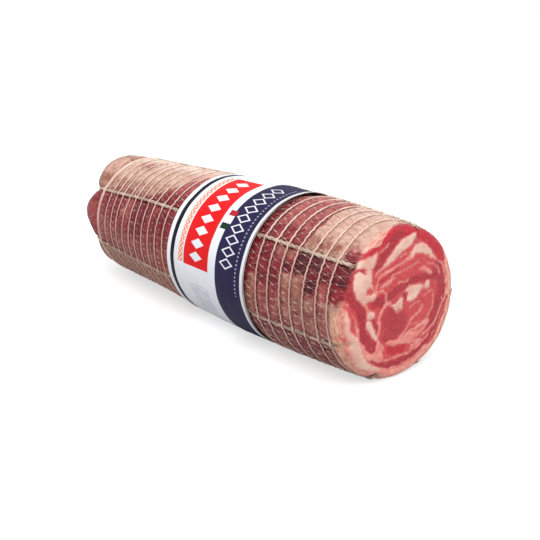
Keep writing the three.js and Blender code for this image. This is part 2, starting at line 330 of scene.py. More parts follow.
def to_line(at, line):
    """Distance from each point of at to a line of points."""
    best = np.full(len(at), 1e9)
    for a, b in zip(line[:-1], line[1:]):
        ab = b - a
        t = np.clip(((at - a) @ ab) / (ab @ ab + 1e-9), 0, 1)
        best = np.minimum(best, np.linalg.norm(at - a - t[:, None] * ab, axis=1))
    return best


def inside_depth(at, outline):
    """Distance from the outline, above 0 inside it."""
    ring = np.concatenate([outline, outline[:1]])
    inside = np.zeros(len(at), bool)
    for (x0, y0), (x1, y1) in zip(ring[:-1], ring[1:]):
        crosses = (y0 > at[:, 1]) != (y1 > at[:, 1])
        where = x0 + (at[:, 1] - y0) * (x1 - x0) / (y1 - y0 if y1 != y0 else 1e-9)
        inside ^= crosses & (at[:, 0] < where)
    return np.where(inside, 1, -1) * to_line(at, ring)


# The cut face's marbling

# Outlines and lines as across, up, across, up and so on, in mm from the axis, as the viewer sees them.
# A line has its width first. Deep lean has a width and a strength first.
CREAM_FAT = [
    [0, 44.2, 4, 45.8, 8, 47.1, 11.4, 47.6, 13.4, 46.6, 13, 43.8, 11.4, 41.3, 9, 39.4, 5, 37.8, 1, 36.8,
     -3, 35, -6, 33.2, -10, 31.6, -14, 30.2, -18, 28.6, -21, 26.2, -18.5, 29.4, -15, 32.2, -11, 35.6, -7,
     39, -3.5, 42],
    [8, 33.4, 12, 36.6, 15, 38.4, 18, 39.2, 21.5, 38.8, 25, 37, 28, 34.4, 31, 31.2, 33, 28.4, 35.4, 25.6,
     36.4, 24.2, 34.4, 24.8, 31, 26.6, 27.6, 28.6, 24.6, 31, 21, 32.8, 17, 32.6, 13, 32, 9.5, 30.8],
    [-43, 34, -42, 37, -37, 37.6, -32, 38, -27, 39, -23.5, 39.6, -24, 37, -25, 34, -26.5, 31, -28.5, 30,
     -31, 30.2, -33, 31.4, -36, 32.4, -40, 32.6],
    [-42.6, 28.6, -43.4, 25, -43.2, 20, -42.2, 16, -40, 12.4, -37.4, 9.6, -35, 7.6, -33, 6.8, -30.6, 8.4,
     -28, 8.6, -25.6, 9.4, -24.8, 12, -26, 14, -27, 18, -28.4, 21, -27.6, 25, -28, 28, -30, 30, -32.4, 30,
     -34, 28, -37, 28.8, -40, 30],
    [-27.6, 0.8, -25.6, 0, -25, -2, -26, -4, -28.4, -4.4, -30.4, -3, -30.6, -0.8, -29.4, 0.6],
    [-30.4, -5.4, -28.4, -5.6, -26.4, -9, -23.4, -13.6, -21.4, -17.6, -20.8, -20.6, -23, -20, -26, -17.2,
     -29, -13.4, -31, -9],
    [-9, 1.6, -6, 1.8, -3, 3, 0, 5, 2, 4.4, 2.6, 1.6, 2, -1.6, 1.8, -4.2, 0.4, -3, -0.4, -4.8, -1.6, -2.4,
     -3, -4.8, -4, -2.4, -6.4, -2.6, -7, 0],
    [3.4, 9, 7, 10.6, 12, 11.2, 17, 10.2, 22, 9.2, 24, 8, 21.4, 6, 19, 4.6, 17.4, 2.2, 14.6, 0.4, 11,
     -0.6, 8, -0.2, 6.6, 1.4, 7.4, 4, 7.8, 6.6, 5.6, 8],
    [24, 8, 25.4, 10.2, 28, 10.6, 30, 9, 30.4, 6.4, 28.6, 4.8, 26, 5.4],
    [-50, 9, -50.5, 2, -50, -4, -48.6, -10, -46, -16, -44.6, -22, -43.6, -27, -41, -32, -37.4, -36.4, -32,
     -40, -26, -42.4, -20, -44.4, -14.4, -45, -15, -43.4, -20, -41.4, -25, -38.6, -28.4, -35.4, -31.4,
     -31.6, -34, -27, -36, -22, -38, -17, -40, -14, -42.4, -13, -45, -10, -46.2, -5, -46.4, 0, -47.6, 5,
     -49, 10],
]
PINK_FAT = [
    [-56, 20, -53, 16, -50.6, 12, -48, 8, -44.6, 3.4, -41.4, 0, -39.6, -5, -38.4, -10, -37, -15, -34.4,
     -20, -31, -25, -27, -28.6, -22.4, -31, -18, -33, -13, -36.4, -20, -36, -26, -34.6, -31, -33.4, -28.4,
     -35.4, -22, -40, -15, -43.4, -14.4, -45, -20, -45.6, -26, -44, -34, -41.6, -40, -37, -46, -31, -50,
     -24, -53, -16, -56, -8, -57, 0, -58, 10],
    [-20, 15, -16, 15.4, -12, 16.4, -8, 18.6, -6, 20.4, -9.6, 20.8, -14, 19.2, -17, 17.2],
    [18.4, 20.8, 22, 22, 25.4, 21.4, 29, 19, 32, 16.4, 33.4, 14.4, 30.6, 15, 27, 17, 23.6, 19.4, 20.6,
     20],
    [-4, 27.2, 0, 28.4, 4, 31, 8, 33.8, 10, 35, 10, 31, 5, 28.8, 1, 27.4],
    [-17, 2, -15.4, 4.8, -12, 5.2, -9, 3.6, -10, 2, -13.4, 1.6],
    [3, -24, 10, -22.4, 18, -20.4, 26, -18, 31, -18, 32, -21, 29, -25, 24, -28, 18, -30, 26, -31.4, 23,
     -34, 18, -36.4, 13, -36.6, 14.6, -34, 11, -31.6, 4, -30.6, 0, -29, -8, -28.4, -12, -26, -9, -24, -3,
     -25.6],
    [-22, -20, -18, -22, -14, -26, -12.6, -29, -14.4, -32, -13, -36, -16, -36, -21, -33.4, -25, -31,
     -21.6, -28, -20, -24],
]
PINK_SEAMS = [
    (2, [-26.5, 9, -24.5, 12, -23.6, 15, -23, 18, -22, 21, -20, 23.4, -16, 25, -11, 26, -5, 27, 0, 28.2]),
    (1.3, [-23.4, 13.2, -18.4, 13, -15.4, 11.6, -14.2, 9, -15.2, 6]),
    (2.2, [-9, 3, -12, 3.4, -15, 2, -18, -1, -19.2, -5, -19.4, -10, -19.6, -15, -20.4, -19]),
    (1.2, [-2, 15.4, 1, 15.8, 4, 15.4, 7.6, 15.8]),
    (2.4, [-33, 7, -31.6, 3, -30.6, 0]),
    (1, [-19.6, 40.4, -16, 42.4, -13.4, 44.4]),
    (1.2, [-2, 33.2, 2, 34, 5, 34.2]),
    (2, [40, 22.4, 44, 18.4, 47, 13.4, 49, 8, 50, 3, 50.2, -2, 48.6, -6, 45.6, -10, 43, -16, 40, -21, 36,
     -25, 30, -28, 25, -29]),
    (1, [45, 20.4, 49.6, 14.4, 52.2, 8, 53, 2, 53, -4]),
    (1.9, [24, -7, 20, -10, 16, -13, 12, -15, 9, -18, 6, -22, 2, -24.4]),
    (1.7, [34.6, -2, 35, -8, 33.6, -12.4, 30, -16, 27, -19, 20, -22, 12, -25, 3, -27]),
    (1.4, [30, -21, 25, -25, 20, -27.5, 15, -28, 5, -29]),
    (1.5, [-37, -29, -30, -32.6, -24, -34.8, -18, -36.8, -11, -38.2, -3, -38.6, 5, -39, 12, -38.8, 20,
     -36.8, 28, -33, 33, -30]),
    (1.3, [-22, -41, -12, -45, -4, -46, 6, -46, 14, -45, 22, -42.6, 30, -38.8, 36, -34.6]),
    (1.3, [44.4, -5, 46.6, -8]),
    (0.9, [24, 0, 28, 2, 33, 2.6, 35, 1]),
    (0.8, [10, -5, 16, -3, 22, -4]),
    (0.9, [27, 24, 36, 20, 40, 14]),
    (0.8, [-10, 22, 0, 23, 10, 25, 18, 26]),
    (0.8, [-24, 24, -20, 28.4, -14, 29]),
    (0.7, [12, -17, 17, -18.4, 22, -17]),
]
LEAN_OVER_FAT = [
    (1.4, [0, 35.4, 4, 36.2, 8, 37.6, 11, 39.8, 13.2, 42]),
    (2.6, [-45, 31.6, -41, 31.6, -38, 31, -35.4, 29.4, -33.4, 28]),
    (4.6, [-30.2, 15.4, -28.4, 14.6]),
    (3.4, [-50, 8.4, -47, 5.4, -44.4, 1, -43.4, -4, -42.4, -9]),
    (1.8, [-42.4, -9, -41.4, -12, -40.4, -14]),
    (1, [23.4, 9.6, 24.2, 7, 25.4, 5]),
    (3.4, [4, 5.8, 5.4, 3.4, 4, 2]),
    (1.4, [33, -21.6, 28, -25.6, 22, -28.6, 17, -30]),
    (2.4, [11, -20.6, 15, -17.6, 20, -15.6]),
    (1, [14, -23, 20, -24.4, 27, -22]),
    (1, [6, -33, 12, -33.4, 19, -32.6]),
    (2.4, [-57, -9, -53, -12, -49, -14.6]),
    (2.2, [-50, -18, -48, -22, -46.6, -25.4]),
    (1.2, [-54, 2, -53, -4, -51.4, -9]),
    (2.6, [50.6, -6, 48.6, -15, 44.6, -24, 39.4, -31.6, 33, -38]),
]
DEEP_LEAN = [
    (6.4, 1, [-23, 31, -19, 35.4, -15, 39.4, -11, 42.6, -6, 46.6, -1, 49.4]),
    (6.6, 1, [-46, 34, -46.8, 28, -47.2, 21, -46, 14, -42.4, 9, -38, 5, -36, 0, -35, -6, -34, -12]),
    (7, 0.8, [-34, -12, -32, -17, -28, -22, -25, -26, -22.4, -29]),
    (2.6, 1, [-45, 31.6, -41, 31.6, -38, 31, -35.4, 29.4]),
    (5, 1, [-24, -37.6, -15, -41.4, -5, -42.8, 5, -43, 14, -42.4, 22, -40, 30, -36, 36, -31.4, 41, -25.6,
     45, -17.4, 47, -9, 48, -2]),
    (1.8, 1, [-33, -31.8, -28, -33.4, -22, -36]),
    (23, 0.7, [-7, -9, -3, -14]),
    (6, 0.9, [-24, 8, -18, 5, -12, 8, -5, 10, 3, 12.4, 12, 14, 20, 15, 30, 14, 38, 12]),
    (11, 0.75, [38, 18, 43, 10, 44, 0, 40, -10, 34, -20]),
    (2.6, 1, [-26.6, -5, -23.6, -9.6, -21.8, -13.6, -20.8, -17]),
    (2.4, 1, [-14, -20, -12, -23, -6, -24]),
    (3, 0.9, [3, 6, 5, 4, 4, 2]),
    (1.6, 1, [33, -21.6, 28, -25.6, 22, -28.6]),
    (3, 0.7, [-20, 20, -12, 23, -4, 24]),
]
BRIGHT_LEAN = [
    (10.5, [-16, 47.5, -10, 51, -2, 53, 8, 52.6, 17, 49, 26, 44, 35, 37, 43, 29.6, 48, 24]),
    (5, [-8, -31, -2, -33.6, 6, -33.8]),
    (2.4, [-46, 36, -43, 39, -38, 40.6, -32, 40.4, -26, 41.8, -22, 43]),
    (5, [-26, 5, -20, 7, -17, 10]),
    (5, [-27, -21, -24, -25]),
]
# The outer fat shows as a ring. Its numbers are an angle, from the top towards the viewer's left, and
# the ring's inner radius there, and so on.
RING_FAT = [
    -180, 47, -160, 48.6, -130, 49, -110, 48.8, -95, 49.6, -85, 50.2, -75, 50.6, -66, 50.4, -60, 53, -52,
    56, -45, 60, 5, 60, 8, 57, 12, 55, 18, 52, 24, 49.6, 29, 49.6, 35, 52.4, 41, 55.4, 46, 60, 70, 60, 76,
    56, 84, 51, 100, 49.6, 110, 49.6, 120, 51.3, 130, 52, 140, 51, 150, 49.7, 162, 47.6, 180, 47,
]

# Depths in fat are kept within this many mm
FAT_REACH = 8.0
# Round the rim the marbling shifts by this much across and up for each mm back from the face
SLANT_ACROSS = 0.825
SLANT_UP = 0.412


def marbling(across, up):
    """Over the cut face: mm within cream and pink fat, and deep lean, bright lean and rind from 0 to 1."""
    at = np.stack([across, up], axis=1)
    spots = np.concatenate([at, np.zeros((len(at), 1))], axis=1)
    for size, scale, seed in ((0.8, 5, 1), (0.42, 1.8, 3)):
        at = at + size * np.stack([wavy(spots, scale, seed), wavy(spots, scale, seed + 1)], axis=1)

    def within(outlines):
        return np.max([inside_depth(at, smooth_path(one, 4, True)) for one in outlines], axis=0)

    def along(width, line):
        return width / 2 - to_line(at, smooth_path(line))

    cream = np.maximum(within(CREAM_FAT), -FAT_REACH)
    pink = np.maximum(within(PINK_FAT), np.max([along(*seam) for seam in PINK_SEAMS], axis=0))
    turns = np.reshape(RING_FAT, (-1, 2))
    inner = np.interp(np.degrees(np.arctan2(-across, up)), turns[:, 0], turns[:, 1])
    ring = np.maximum(np.hypot(at[:, 0], at[:, 1]) - inner, -FAT_REACH)
    rind = ease(np.minimum(ring, -cream), -0.8, 1.2) * (1 - 0.55 * ease(-at[:, 1], 36, 48))
    pink = np.maximum(pink, ring)
    clear = -np.max([along(*streak) for streak in LEAN_OVER_FAT], axis=0)
    cream = np.clip(np.minimum(cream, clear), -FAT_REACH, FAT_REACH)
    pink = np.clip(np.minimum(pink, clear), -FAT_REACH, FAT_REACH)
    deep, bright = np.zeros(len(at)), np.zeros(len(at))
    for width, amount, line in DEEP_LEAN:
        soft = 1.6 + 0.25 * max(width - 6, 0)
        deep = np.maximum(deep, amount * ease(along(width, line), -soft, soft))
    for streak in BRIGHT_LEAN:
        bright = np.maximum(bright, ease(along(*streak), -1.8, 1.4))
    return cream, pink, deep, bright, rind


# Where the outside is lean, fat or tanned

# Where each patch lies (from and to along the roll, from and to round it), how soft its edge is, and
# how lean, dark, tanned and pink it is. Low on the front, the dark and tan are partly painted shade of
# the lower side.
PATCHES_TO_BAND = [
    (46.5, 100, -60, 50, 3, 1, 0.15, 0, 0.75), (46.5, 100, -60, 6, 10, 0.7, 0, 0, 1),
    (49, 61, 18, 36, 6, 1, 0.35, 0, 0.7), (84, 100, 8, 50, 5, 1, 0.4, 0, 0.1),
    (60, 84, 38, 50, 6, 1, 0.25, 0, 0.2), (49, 62, 38, 50, 7, 1, 0.5, 0, 0.3),
    (-20, 47, -60, 50, 3, 0, 0, 0.14, 0.3), (16, 47, 36, 50, 9, 0.35, 0, 0.7, 0.5),
    (0, 15, 32, 42, 7, 0.45, 0.1, 0.2, 0.6), (0, 14, 41, 50, 5, 1, 0.3, 0, 0.3),
    (-20, 100, 50, 86, 2, 1, 0.36, 0, 0.03), (38, 49, 50, 70, 4, 1, 1, 0, 0),
    (27, 38, 50, 62, 4, 1, 0.85, 0, 0), (27, 38, 62, 70, 5, 1, 0.5, 0, 0),
    (26, 38, 69, 81, 5, 1, 0.9, 0, 0), (16, 26, 50, 60, 4, 1, 0.4, 0, 0.3),
    (16, 26, 60, 70, 5, 1, 0.5, 0, 0), (16, 26, 70, 80, 6, 0.75, 0.1, 0.3, 0.7),
    (2, 14, 50, 70, 4, 1, 0.6, 0, 0), (2, 14, 70, 79, 4, 1, 0, 0, 0),
    (50, 73, 53, 61, 6, 0.5, 0.1, 0.8, 0.3), (50, 61, 61, 69, 5, 1, 0.55, 0, 0),
    (49, 61, 70, 83, 7, 0.2, 0, 0.85, 0.3), (38, 49, 70, 95, 6, 0.3, 0, 0.9, 0.3),
    (50, 61, 82, 111, 8, 0.6, 0, 0.7, 0.5), (27, 38, 81, 111, 7, 0.45, 0, 0.8, 0.5),
    (16, 26, 80, 111, 7, 0.5, 0, 0.7, 0.5), (38, 49, 93, 111, 7, 0.6, 0, 0.7, 0.4),
    (61, 85, 84, 111, 8, 0.75, 0.1, 0.5, 0.35), (85, 97, 80, 111, 6, 0.35, 0, 1, 0.2),
    (-20, 15, 79, 94, 6, 0.15, 0, 0.62, 0.4), (-20, 15, 94, 100, 4, 0.5, 0, 0.1, 0.5),
    (-20, 15, 100, 118, 4, 0.15, 0, 0.2, 0.4), (-20, 20, 103, 107, 3, 0.9, 0, 0, 0.3),
    # From about 110 degrees round, the patches are dark and brown partly as brown fat and partly as painted
    # shade of the lower side
    (15, 100, 111, 160, 5, 0.8, 0.4, 0.7, 0.1), (-20, 15, 114, 160, 6, 0.25, 0, 0.6, 0.4),
]
PATCHES_BEYOND_BAND = [
    (190, 400, -60, 52, 3, 0, 0, 0.25, 0.05), (190, 226, -60, 18, 14, 0.3, 0, 0, 0.75),
    (222, 262, -60, 8, 12, 0.1, 0, 0.1, 0.3), (200, 330, 36, 52, 12, 0.12, 0, 0.7, 0.3),
    (255, 316, 45, 52, 4, 0.5, 0.1, 0.6, 0.1), (285, 310, 8, 22, 8, 0.35, 0.2, 0.5, 0.5),
    (190, 330, 52, 109, 2, 1, 0.15, 0, 0.1), (235, 262, 56, 92, 8, 1, 0.5, 0, 0),
    (200, 225, 62, 80, 8, 1, 0.35, 0, 0), (266, 280, 54, 72, 7, 0.75, 0, 0.5, 0.6),
    (195, 330, 86, 109, 10, 0.72, 0.05, 0.75, 0.3), (296, 330, 74, 109, 12, 0.78, 0.05, 0.6, 0.2),
    # Patches from about 107 degrees round to the underside, here and below, are dark and brown partly as
    # painted shade of the lower side
    (190, 345, 108.5, 170, 3, 0.3, 0.2, 1, 0), (325, 400, 53, 107, 3, 0.95, 0.2, 0.2, 0.1),
    (328, 344, 68, 90, 8, 0.9, 0.1, 0.7, 0.3), (325, 400, -60, 53, 3, 0, 0, 0.6, 0.1),
    (334, 352, -10, 3, 6, 0.4, 0, 0.2, 1), (328, 348, 14, 36, 10, 0.1, 0, 0.45, 0.8),
    (325, 355, 38, 54, 9, 0.1, 0.1, 0.85, 0), (325, 400, 107, 170, 3, 0.25, 0.2, 1, 0),
]


def between(x, low, high, soft):
    """1 between low and high, fading over soft at each."""
    return plateau(x, low - soft / 2, low + soft / 2, high - soft / 2, high + soft / 2)


def wedge_of_lean(d, a):
    """A wedge of lean that runs out from under the band, above the upper twine."""
    edge = np.interp(d, [200, 207, 216, 222, 235, 245, 262, 285], [12, 18, 25, 37, 42, 47, 52, 56])
    return ease(a - edge, -8, 9) * plateau(d, 190, 194, 280, 290) * plateau(a, 0, 10, 52, 53.5)


def outside_looks(d, a, points):
    """Lean, dark, tan and pink, each 0 to 1, over the outside."""
    a = (a + 100) % 360 - 100
    d = d + 1.8 * wavy(points, 11, 5) + 1.1 * wavy(points, 4, 6)
    uneven = a + 1.6 * wavy(points, 11, 7) + 1.1 * wavy(points, 4, 8)
    # Edges stay straight along the upper twine
    uneven = np.where(np.abs(a - 52) < 3, a, uneven)
    # The sides out of sight carry on in the same way
    out_of_sight = [
        ease(wavy(points * [0.6, 1, 1], 30, 9), -0.6, 0.35),
        ease(wavy(points, 22, 10), 0.25, 0.8) * 0.7,
        ease(wavy(points * [0.7, 1, 1], 34, 11), -0.3, 0.7) * 0.85,
        ease(wavy(points, 26, 12), -0.3, 0.6) * 0.6,
    ]
    looks = out_of_sight
    for d0, d1, a0, a1, soft, *values in PATCHES_TO_BAND + PATCHES_BEYOND_BAND:
        share = between(d, d0, d1, soft) * between(uneven, a0, a1, soft)
        looks = [mix(v, value, share) for v, value in zip(looks, values)]
    in_wedge = (1, 0.05 + 0.25 * ease(uneven, 38, 50), 0.1, 0.75 * (1 - ease(uneven, 25, 48)))
    wedge = wedge_of_lean(d, uneven)
    looks = [mix(v, value, wedge) for v, value in zip(looks, in_wedge)]
    in_sight = plateau(a, -45, -25, 135, 165)
    return [np.clip(mix(hidden, v, in_sight), 0, 1) for hidden, v in zip(out_of_sight, looks)]


# The meat

MEAT_COLUMNS = 300
FACE_RINGS = 60
DOME_TURNS = list(range(0, 85, 3)) + [86.5, 88.7]


def side_stations(a):
    """How far along the roll the rings of its side lie: close together, except under the band."""
    rim = rim_of(a)
    round_the_rim = [rim * (1 - math.sin(t)) for t in np.linspace(math.pi / 2, 0, 11)]
    behind_it = [mix(rim, 16, s) for s in np.linspace(0, 1, 9)[1:]]
    rest = np.concatenate([np.arange(17.2, 110, 1.2), np.arange(112, 190, 4.0), np.arange(190.4, 326, 1.2)])
    return round_the_rim + behind_it + [np.full(len(a), d) for d in rest]


def side_row(d, a):
    """A ring of the meat's side, with valleys under the net and soft lumps between."""
    hoop, twine = to_hoop(d, a), to_twine(d, a)
    open_air = 1 - under_band(d)
    valley = (1.15 * bell(hoop, 2.2) + 0.35 * bell(hoop, 5)) * (0.25 + 0.75 * open_air)
    valley = np.maximum(valley, 2.1 * bell(twine, 3) * ease(d, 0, 3) * (0.5 + 0.5 * open_air))
    lift = 0.35 * open_air * ease(d, 0, 8) - valley
    points = barrel_point(d, a, lift)
    lumps = 0.45 * wavy(points * [0.7, 1, 1], 13, 21) + 0.2 * wavy(points, 4.5, 22)
    return barrel_point(d, a, lift + lumps * open_air * ease(d, 0, 6))


def tied_row(turn, a):
    """A ring of the tied end, with valleys under the twines and pleats round the knot."""
    pleats = np.sin(np.radians(a * 17)) + 0.6 * np.sin(np.radians(a * 29 + 40))
    upright = math.cos(math.radians(turn))
    valley = 2.1 * bell(to_twine(DOME_START, a), 3.0 / max(upright ** 0.7, 0.12)) * upright
    lift = 0.8 * pleats * plateau(turn, 35, 62, 80, 89) - valley - 1.2 * bell(turn, 4) + 0.35
    row = dome_point(turn, a, lift)
    soft = 0.4 * wavy(row, 13, 21) + 0.2 * wavy(row, 4.5, 22)
    return dome_point(turn, a, lift + soft * (1 - turn / 90))


def face_row(edge, share):
    """A ring of the cut face, at a share of the way from its middle to its edge."""
    row = FACE_MIDDLE + (edge - FACE_MIDDLE) * share
    row[:, 0] = FACE_AT + FACE_CROWN * (1 - share**2)
    return row


def cut_share(a, back, points):
    """1 where the knife's cut shows, which reaches further round the rim in some places."""
    turns = [-180, -90, -60, -20, 0, 10, 40, 58, 62, 74, 80, 95, 140, 165, 180]
    reach = np.interp(a, turns, [6, 5.5, 5.5, 5, 4.5, 3, 2.0, 2.2, 1.6, 1.8, 4, 11.5, 12, 7, 6])
    fade = 1.4 + 2.4 * plateau(a, 76, 90, 140, 160)
    return 1 - ease((back + 1.2 * wavy(points, 5, 31) - reach) / fade, -1, 1)


def painted_top_highlight(d, a):
    """Painted highlight: how much paler the fat is on top, and a little on the tied end."""
    beyond_band = ease(d, 150, 220)
    top = ease(-a, -14 - 6 * beyond_band, 16 - 8 * beyond_band) * (1 - ease(-a, 70, 100))
    top = top * mix(0.62, 1, ease(d, 60, 220)) * (1 - ease(d, 322, 330))
    return np.maximum(top, 0.17 * ease(d, 324, 332) * plateau(a, -70, -50, 44, 52))


def meat_looks(points, d, on_face):
    """What the meat's material reads at each point. The first on_face points are the cut face's."""
    y, z = (points - FACE_MIDDLE)[:, 1:].T
    a = np.degrees(np.arctan2(-y, z))
    back = np.maximum(FACE_AT - points[:, 0], 0)
    reach = np.minimum(back, 14) * ease(-y, -20, 10)
    across, up = y - SLANT_ACROSS * reach, z + SLANT_UP * reach
    near = back < 16
    marbled = np.zeros((5, len(points)))
    marbled[:2] = -FAT_REACH
    marbled[:, near] = marbling(across[near], up[near])
    looks = dict(zip(("cream", "pink_fat", "deep", "bright", "rind"), marbled))
    looks["deep"] = np.maximum(looks["deep"], 0.9 * ease(back, 0.1, 2.0) * plateau(a, -85, -65, 15, 30))
    looks["cut"] = cut_share(a, back, points)
    looks["cut"][:on_face] = 1
    looks.update(zip(("lean", "dark", "tan", "pink"), outside_looks(d, a, points)))
    looks["pale"] = painted_top_highlight(d, a)
    # Painted shade in the valleys along the hoops and twines, lighter on fat and kept off the cut face
    by_hoop = bell(to_hoop(d, a), 1.5) * (1 - ease(d, 324, 330))
    by_net = np.maximum(by_hoop, bell(to_twine(d, a), 2.4))
    looks["pressed_and_shaded"] = by_net * (1 - looks["cut"]) * mix(0.2, 1, looks["lean"])
    looks["rim"] = ease(back, 2.2, 8.5) * (1 - 0.75 * (1 - ease(turn_between(a, 185), 20, 50)))
    # Layers and fibres lie in rings, so their noise is read by the way round and the radius
    radius = np.hypot(y, z)
    looks["lay"] = np.stack([13 * y / (radius + 1e-6), 13 * z / (radius + 1e-6), radius + back], axis=1)
    return looks, back


def make_meat():
    a = np.arange(MEAT_COLUMNS) * 360 / MEAT_COLUMNS
    stations = side_stations(a)
    side = [side_row(d, a) for d in stations] + [tied_row(turn, a) for turn in DOME_TURNS]
    face = [face_row(side[0], k / (FACE_RINGS + 1)) for k in range(1, FACE_RINGS + 1)]
    tip = dome_point(np.array([90.0]), np.array([0.0]))
    tip[:, 1] = AXIS_Y
    points = np.concatenate([[FACE_MIDDLE + [FACE_CROWN, 0, 0]], *face, *side, tip])
    on_face = 1 + FACE_RINGS * MEAT_COLUMNS
    tied = [DOME_START + DOME_DEPTH * math.sin(math.radians(turn)) ** 0.7 for turn in DOME_TURNS]
    behind = [*stations, np.repeat(tied, MEAT_COLUMNS), [DOME_START + DOME_DEPTH]]
    d = np.concatenate([np.zeros(on_face), *behind])
    looks, back = meat_looks(points, d, on_face)

    # The cut surface isn't flat: fat stands a little proud, and the knife leaves low waves
    fat = np.maximum(looks["cream"], looks["pink_fat"])
    height = 0.2 * ease(fat, -0.6, 0.8) - 0.2 * bell(fat, 0.9)
    height += 0.25 * wavy(points, 9, 33) + 0.1 * wavy(points, 2.6, 34)
    points[:, 0] += looks["cut"] * (1 - ease(back, 0.5, 4)) * height

    grid = 1 + np.arange((len(face) + len(side)) * MEAT_COLUMNS).reshape(-1, MEAT_COLUMNS)
    right = np.roll(grid, -1, axis=1)
    start = np.stack([np.zeros(MEAT_COLUMNS, int), grid[0], right[0]], axis=-1)
    end = np.stack([np.full(MEAT_COLUMNS, len(points) - 1), right[-1], grid[-1]], axis=-1)
    return make_mesh("pancetta_roll", points, ring_quads(grid), np.concatenate([start, end]), looks)


# The net

def over_twine(d, a):
    """How far a hoop rises to cross a twine."""
    return 0.95 * bell(to_twine(d, a), 2.1)


def make_hoops():
    parts = []
    a = np.arange(0, 360, 1.0) + 180
    for i in range(len(HOOPS) - 1):
        kink = np.abs(((a / THREAD_PITCH + 0.37 * i) % 1) - 0.5) * 4 - 1
        d = hoop_at(i, a) + (0 if is_covered(i) else 0.3) * kink
        under = under_band(d)
        lift = over_twine(d, a) * (1 - 0.6 * under) - 0.1 - 0.5 * under
        path = barrel_point(d, a, lift, CLEAR_OF_FLOOR)[None]
        parts.append(strands(path, outward_of(path), 0.6 if i < FIRST_FAR else 0.54, 8, True, 0.85))
    # The last hoop is three turns side by side, drawn tight before the tied end
    a = np.arange(0, 360, 1.5) + 180
    for side, size in ((-1.25, 0.66), (0.0, 0.7), (1.2, 0.62)):
        d = hoop_at(len(HOOPS) - 1, a) + side
        path = barrel_point(d, a, over_twine(d, a) - 0.15, CLEAR_OF_FLOOR)[None]
        parts.append(strands(path, outward_of(path), size, 8, True))
    return yarn_mesh("net_hoops", parts)


def lay_threads(places, lift, dip, radius, sides):
    """Strands laid on the roll, which dip at the hoops. places has an array of distances and one of
    angles for each."""
    d, a = np.array(places).transpose(1, 0, 2)
    path = barrel_point(d, a, lift - dip * bell(to_hoop(d, a), 1.6), CLEAR_OF_FLOOR)
    return strands(path, outward_of(path), radius, sides)


def threads_of_gap(gap, near, far, rng):
    """The threads that zigzag over one gap between hoops, and the small knots in its middle."""
    narrow = near is not None and near >= FIRST_FAR - 1
    kept_down, kept_across = (0.45, 0.4) if narrow else (0.85, 0.75)
    along, round_it = (0.15, 0.45) if narrow else (0.17, 0.6)
    share = np.linspace(0, 1, 7)
    down, cross, knots = [], [], []
    for k in range(round(360 / THREAD_PITCH)):
        middle = (k + 0.37 * gap) * THREAD_PITCH + rng.uniform(-0.8, 0.8)
        lean_to = rng.uniform(1.2, 3.2)
        leans = (down, lean_to, kept_down), (cross, -lean_to * rng.uniform(0.8, 1.4), kept_across)
        for rows, slope, kept in leans:
            angle = middle + slope * (1 - 2 * share) * (0.7 + 0.3 * np.abs(1 - 2 * share))
            angle = angle + rng.uniform(-0.7, 0.7) * np.sin(math.pi * share)
            angle = angle + rng.uniform(-0.4, 0.4) * np.sin(2 * math.pi * share)
            start = np.full(len(share), 1.5 + rng.uniform(-1, 2)) if near is None else hoop_at(near, angle)
            if rng.random() < kept:
                rows.append((mix(start, hoop_at(far, angle), share), angle))
        s = np.linspace(-1, 1, 5) * rng.uniform(0.3, 1.0)
        angle = middle - s * round_it + rng.uniform(-0.3, 0.3)
        start = np.full(len(s), 3.0) if near is None else hoop_at(near, angle)
        if rng.random() < 0.9:
            share_of_gap = 0.5 + s * along + rng.uniform(-0.04, 0.04)
            knots.append((mix(start, hoop_at(far, angle), share_of_gap), angle))
    radii = (0.08, 0.07) if narrow else (0.11, 0.095)
    fine = [lay_threads(rows, 0.36, 0.75, radius, 4) for rows, radius in zip((down, cross), radii)]
    size = np.array([0.14, 0.25, 0.3, 0.25, 0.14]) * (0.85 if narrow else 1)
    return fine, lay_threads(knots, 0.5, 0, size, 5)


def threads_over_tied_end(rng, number=44):
    """A few threads that run on over the tied end, with knots along them."""
    runs, tied = [], []
    for k in range(number):
        middle = 360 * k / number + rng.uniform(-3, 3)
        lean_to = rng.uniform(-7, 7)
        turn = np.linspace(1, rng.uniform(12, 34), 9)
        runs.append(dome_point(turn, middle + lean_to * np.linspace(0, 1, 9), 0.3, 0, CLEAR_OF_FLOOR))
        for at in (rng.uniform(7, 13), rng.uniform(18, 26)):
            s = np.linspace(-1, 1, 5)
            a = middle + lean_to * at / 23 + s * rng.uniform(-0.8, 0.8)
            tied.append(dome_point(at + s * 1.6, a, 0.42, 0, CLEAR_OF_FLOOR))
    runs, tied = np.array(runs), np.array(tied)
    knots = strands(tied, outward_of(tied), [0.12, 0.2, 0.25, 0.2, 0.12], 5)
    return strands(runs, outward_of(runs), 0.1, 4), knots


def make_threads():
    rng = random.Random(4)
    fine, knots = [], []
    # From hoop to hoop, except where the band covers both
    covered = range(FIRST_COVERED, FIRST_FAR - 1)
    gaps = [(None, 0)] + [(i, i + 1) for i in range(len(HOOPS) - 1) if i not in covered]
    for gap, (near, far) in enumerate(gaps):
        some_fine, some_knots = threads_of_gap(gap, near, far, rng)
        fine += some_fine
        knots.append(some_knots)
    last_fine, last_knots = threads_over_tied_end(rng)
    return yarn_mesh("net_threads", fine + [last_fine]), yarn_mesh("net_knots", knots + [last_knots])


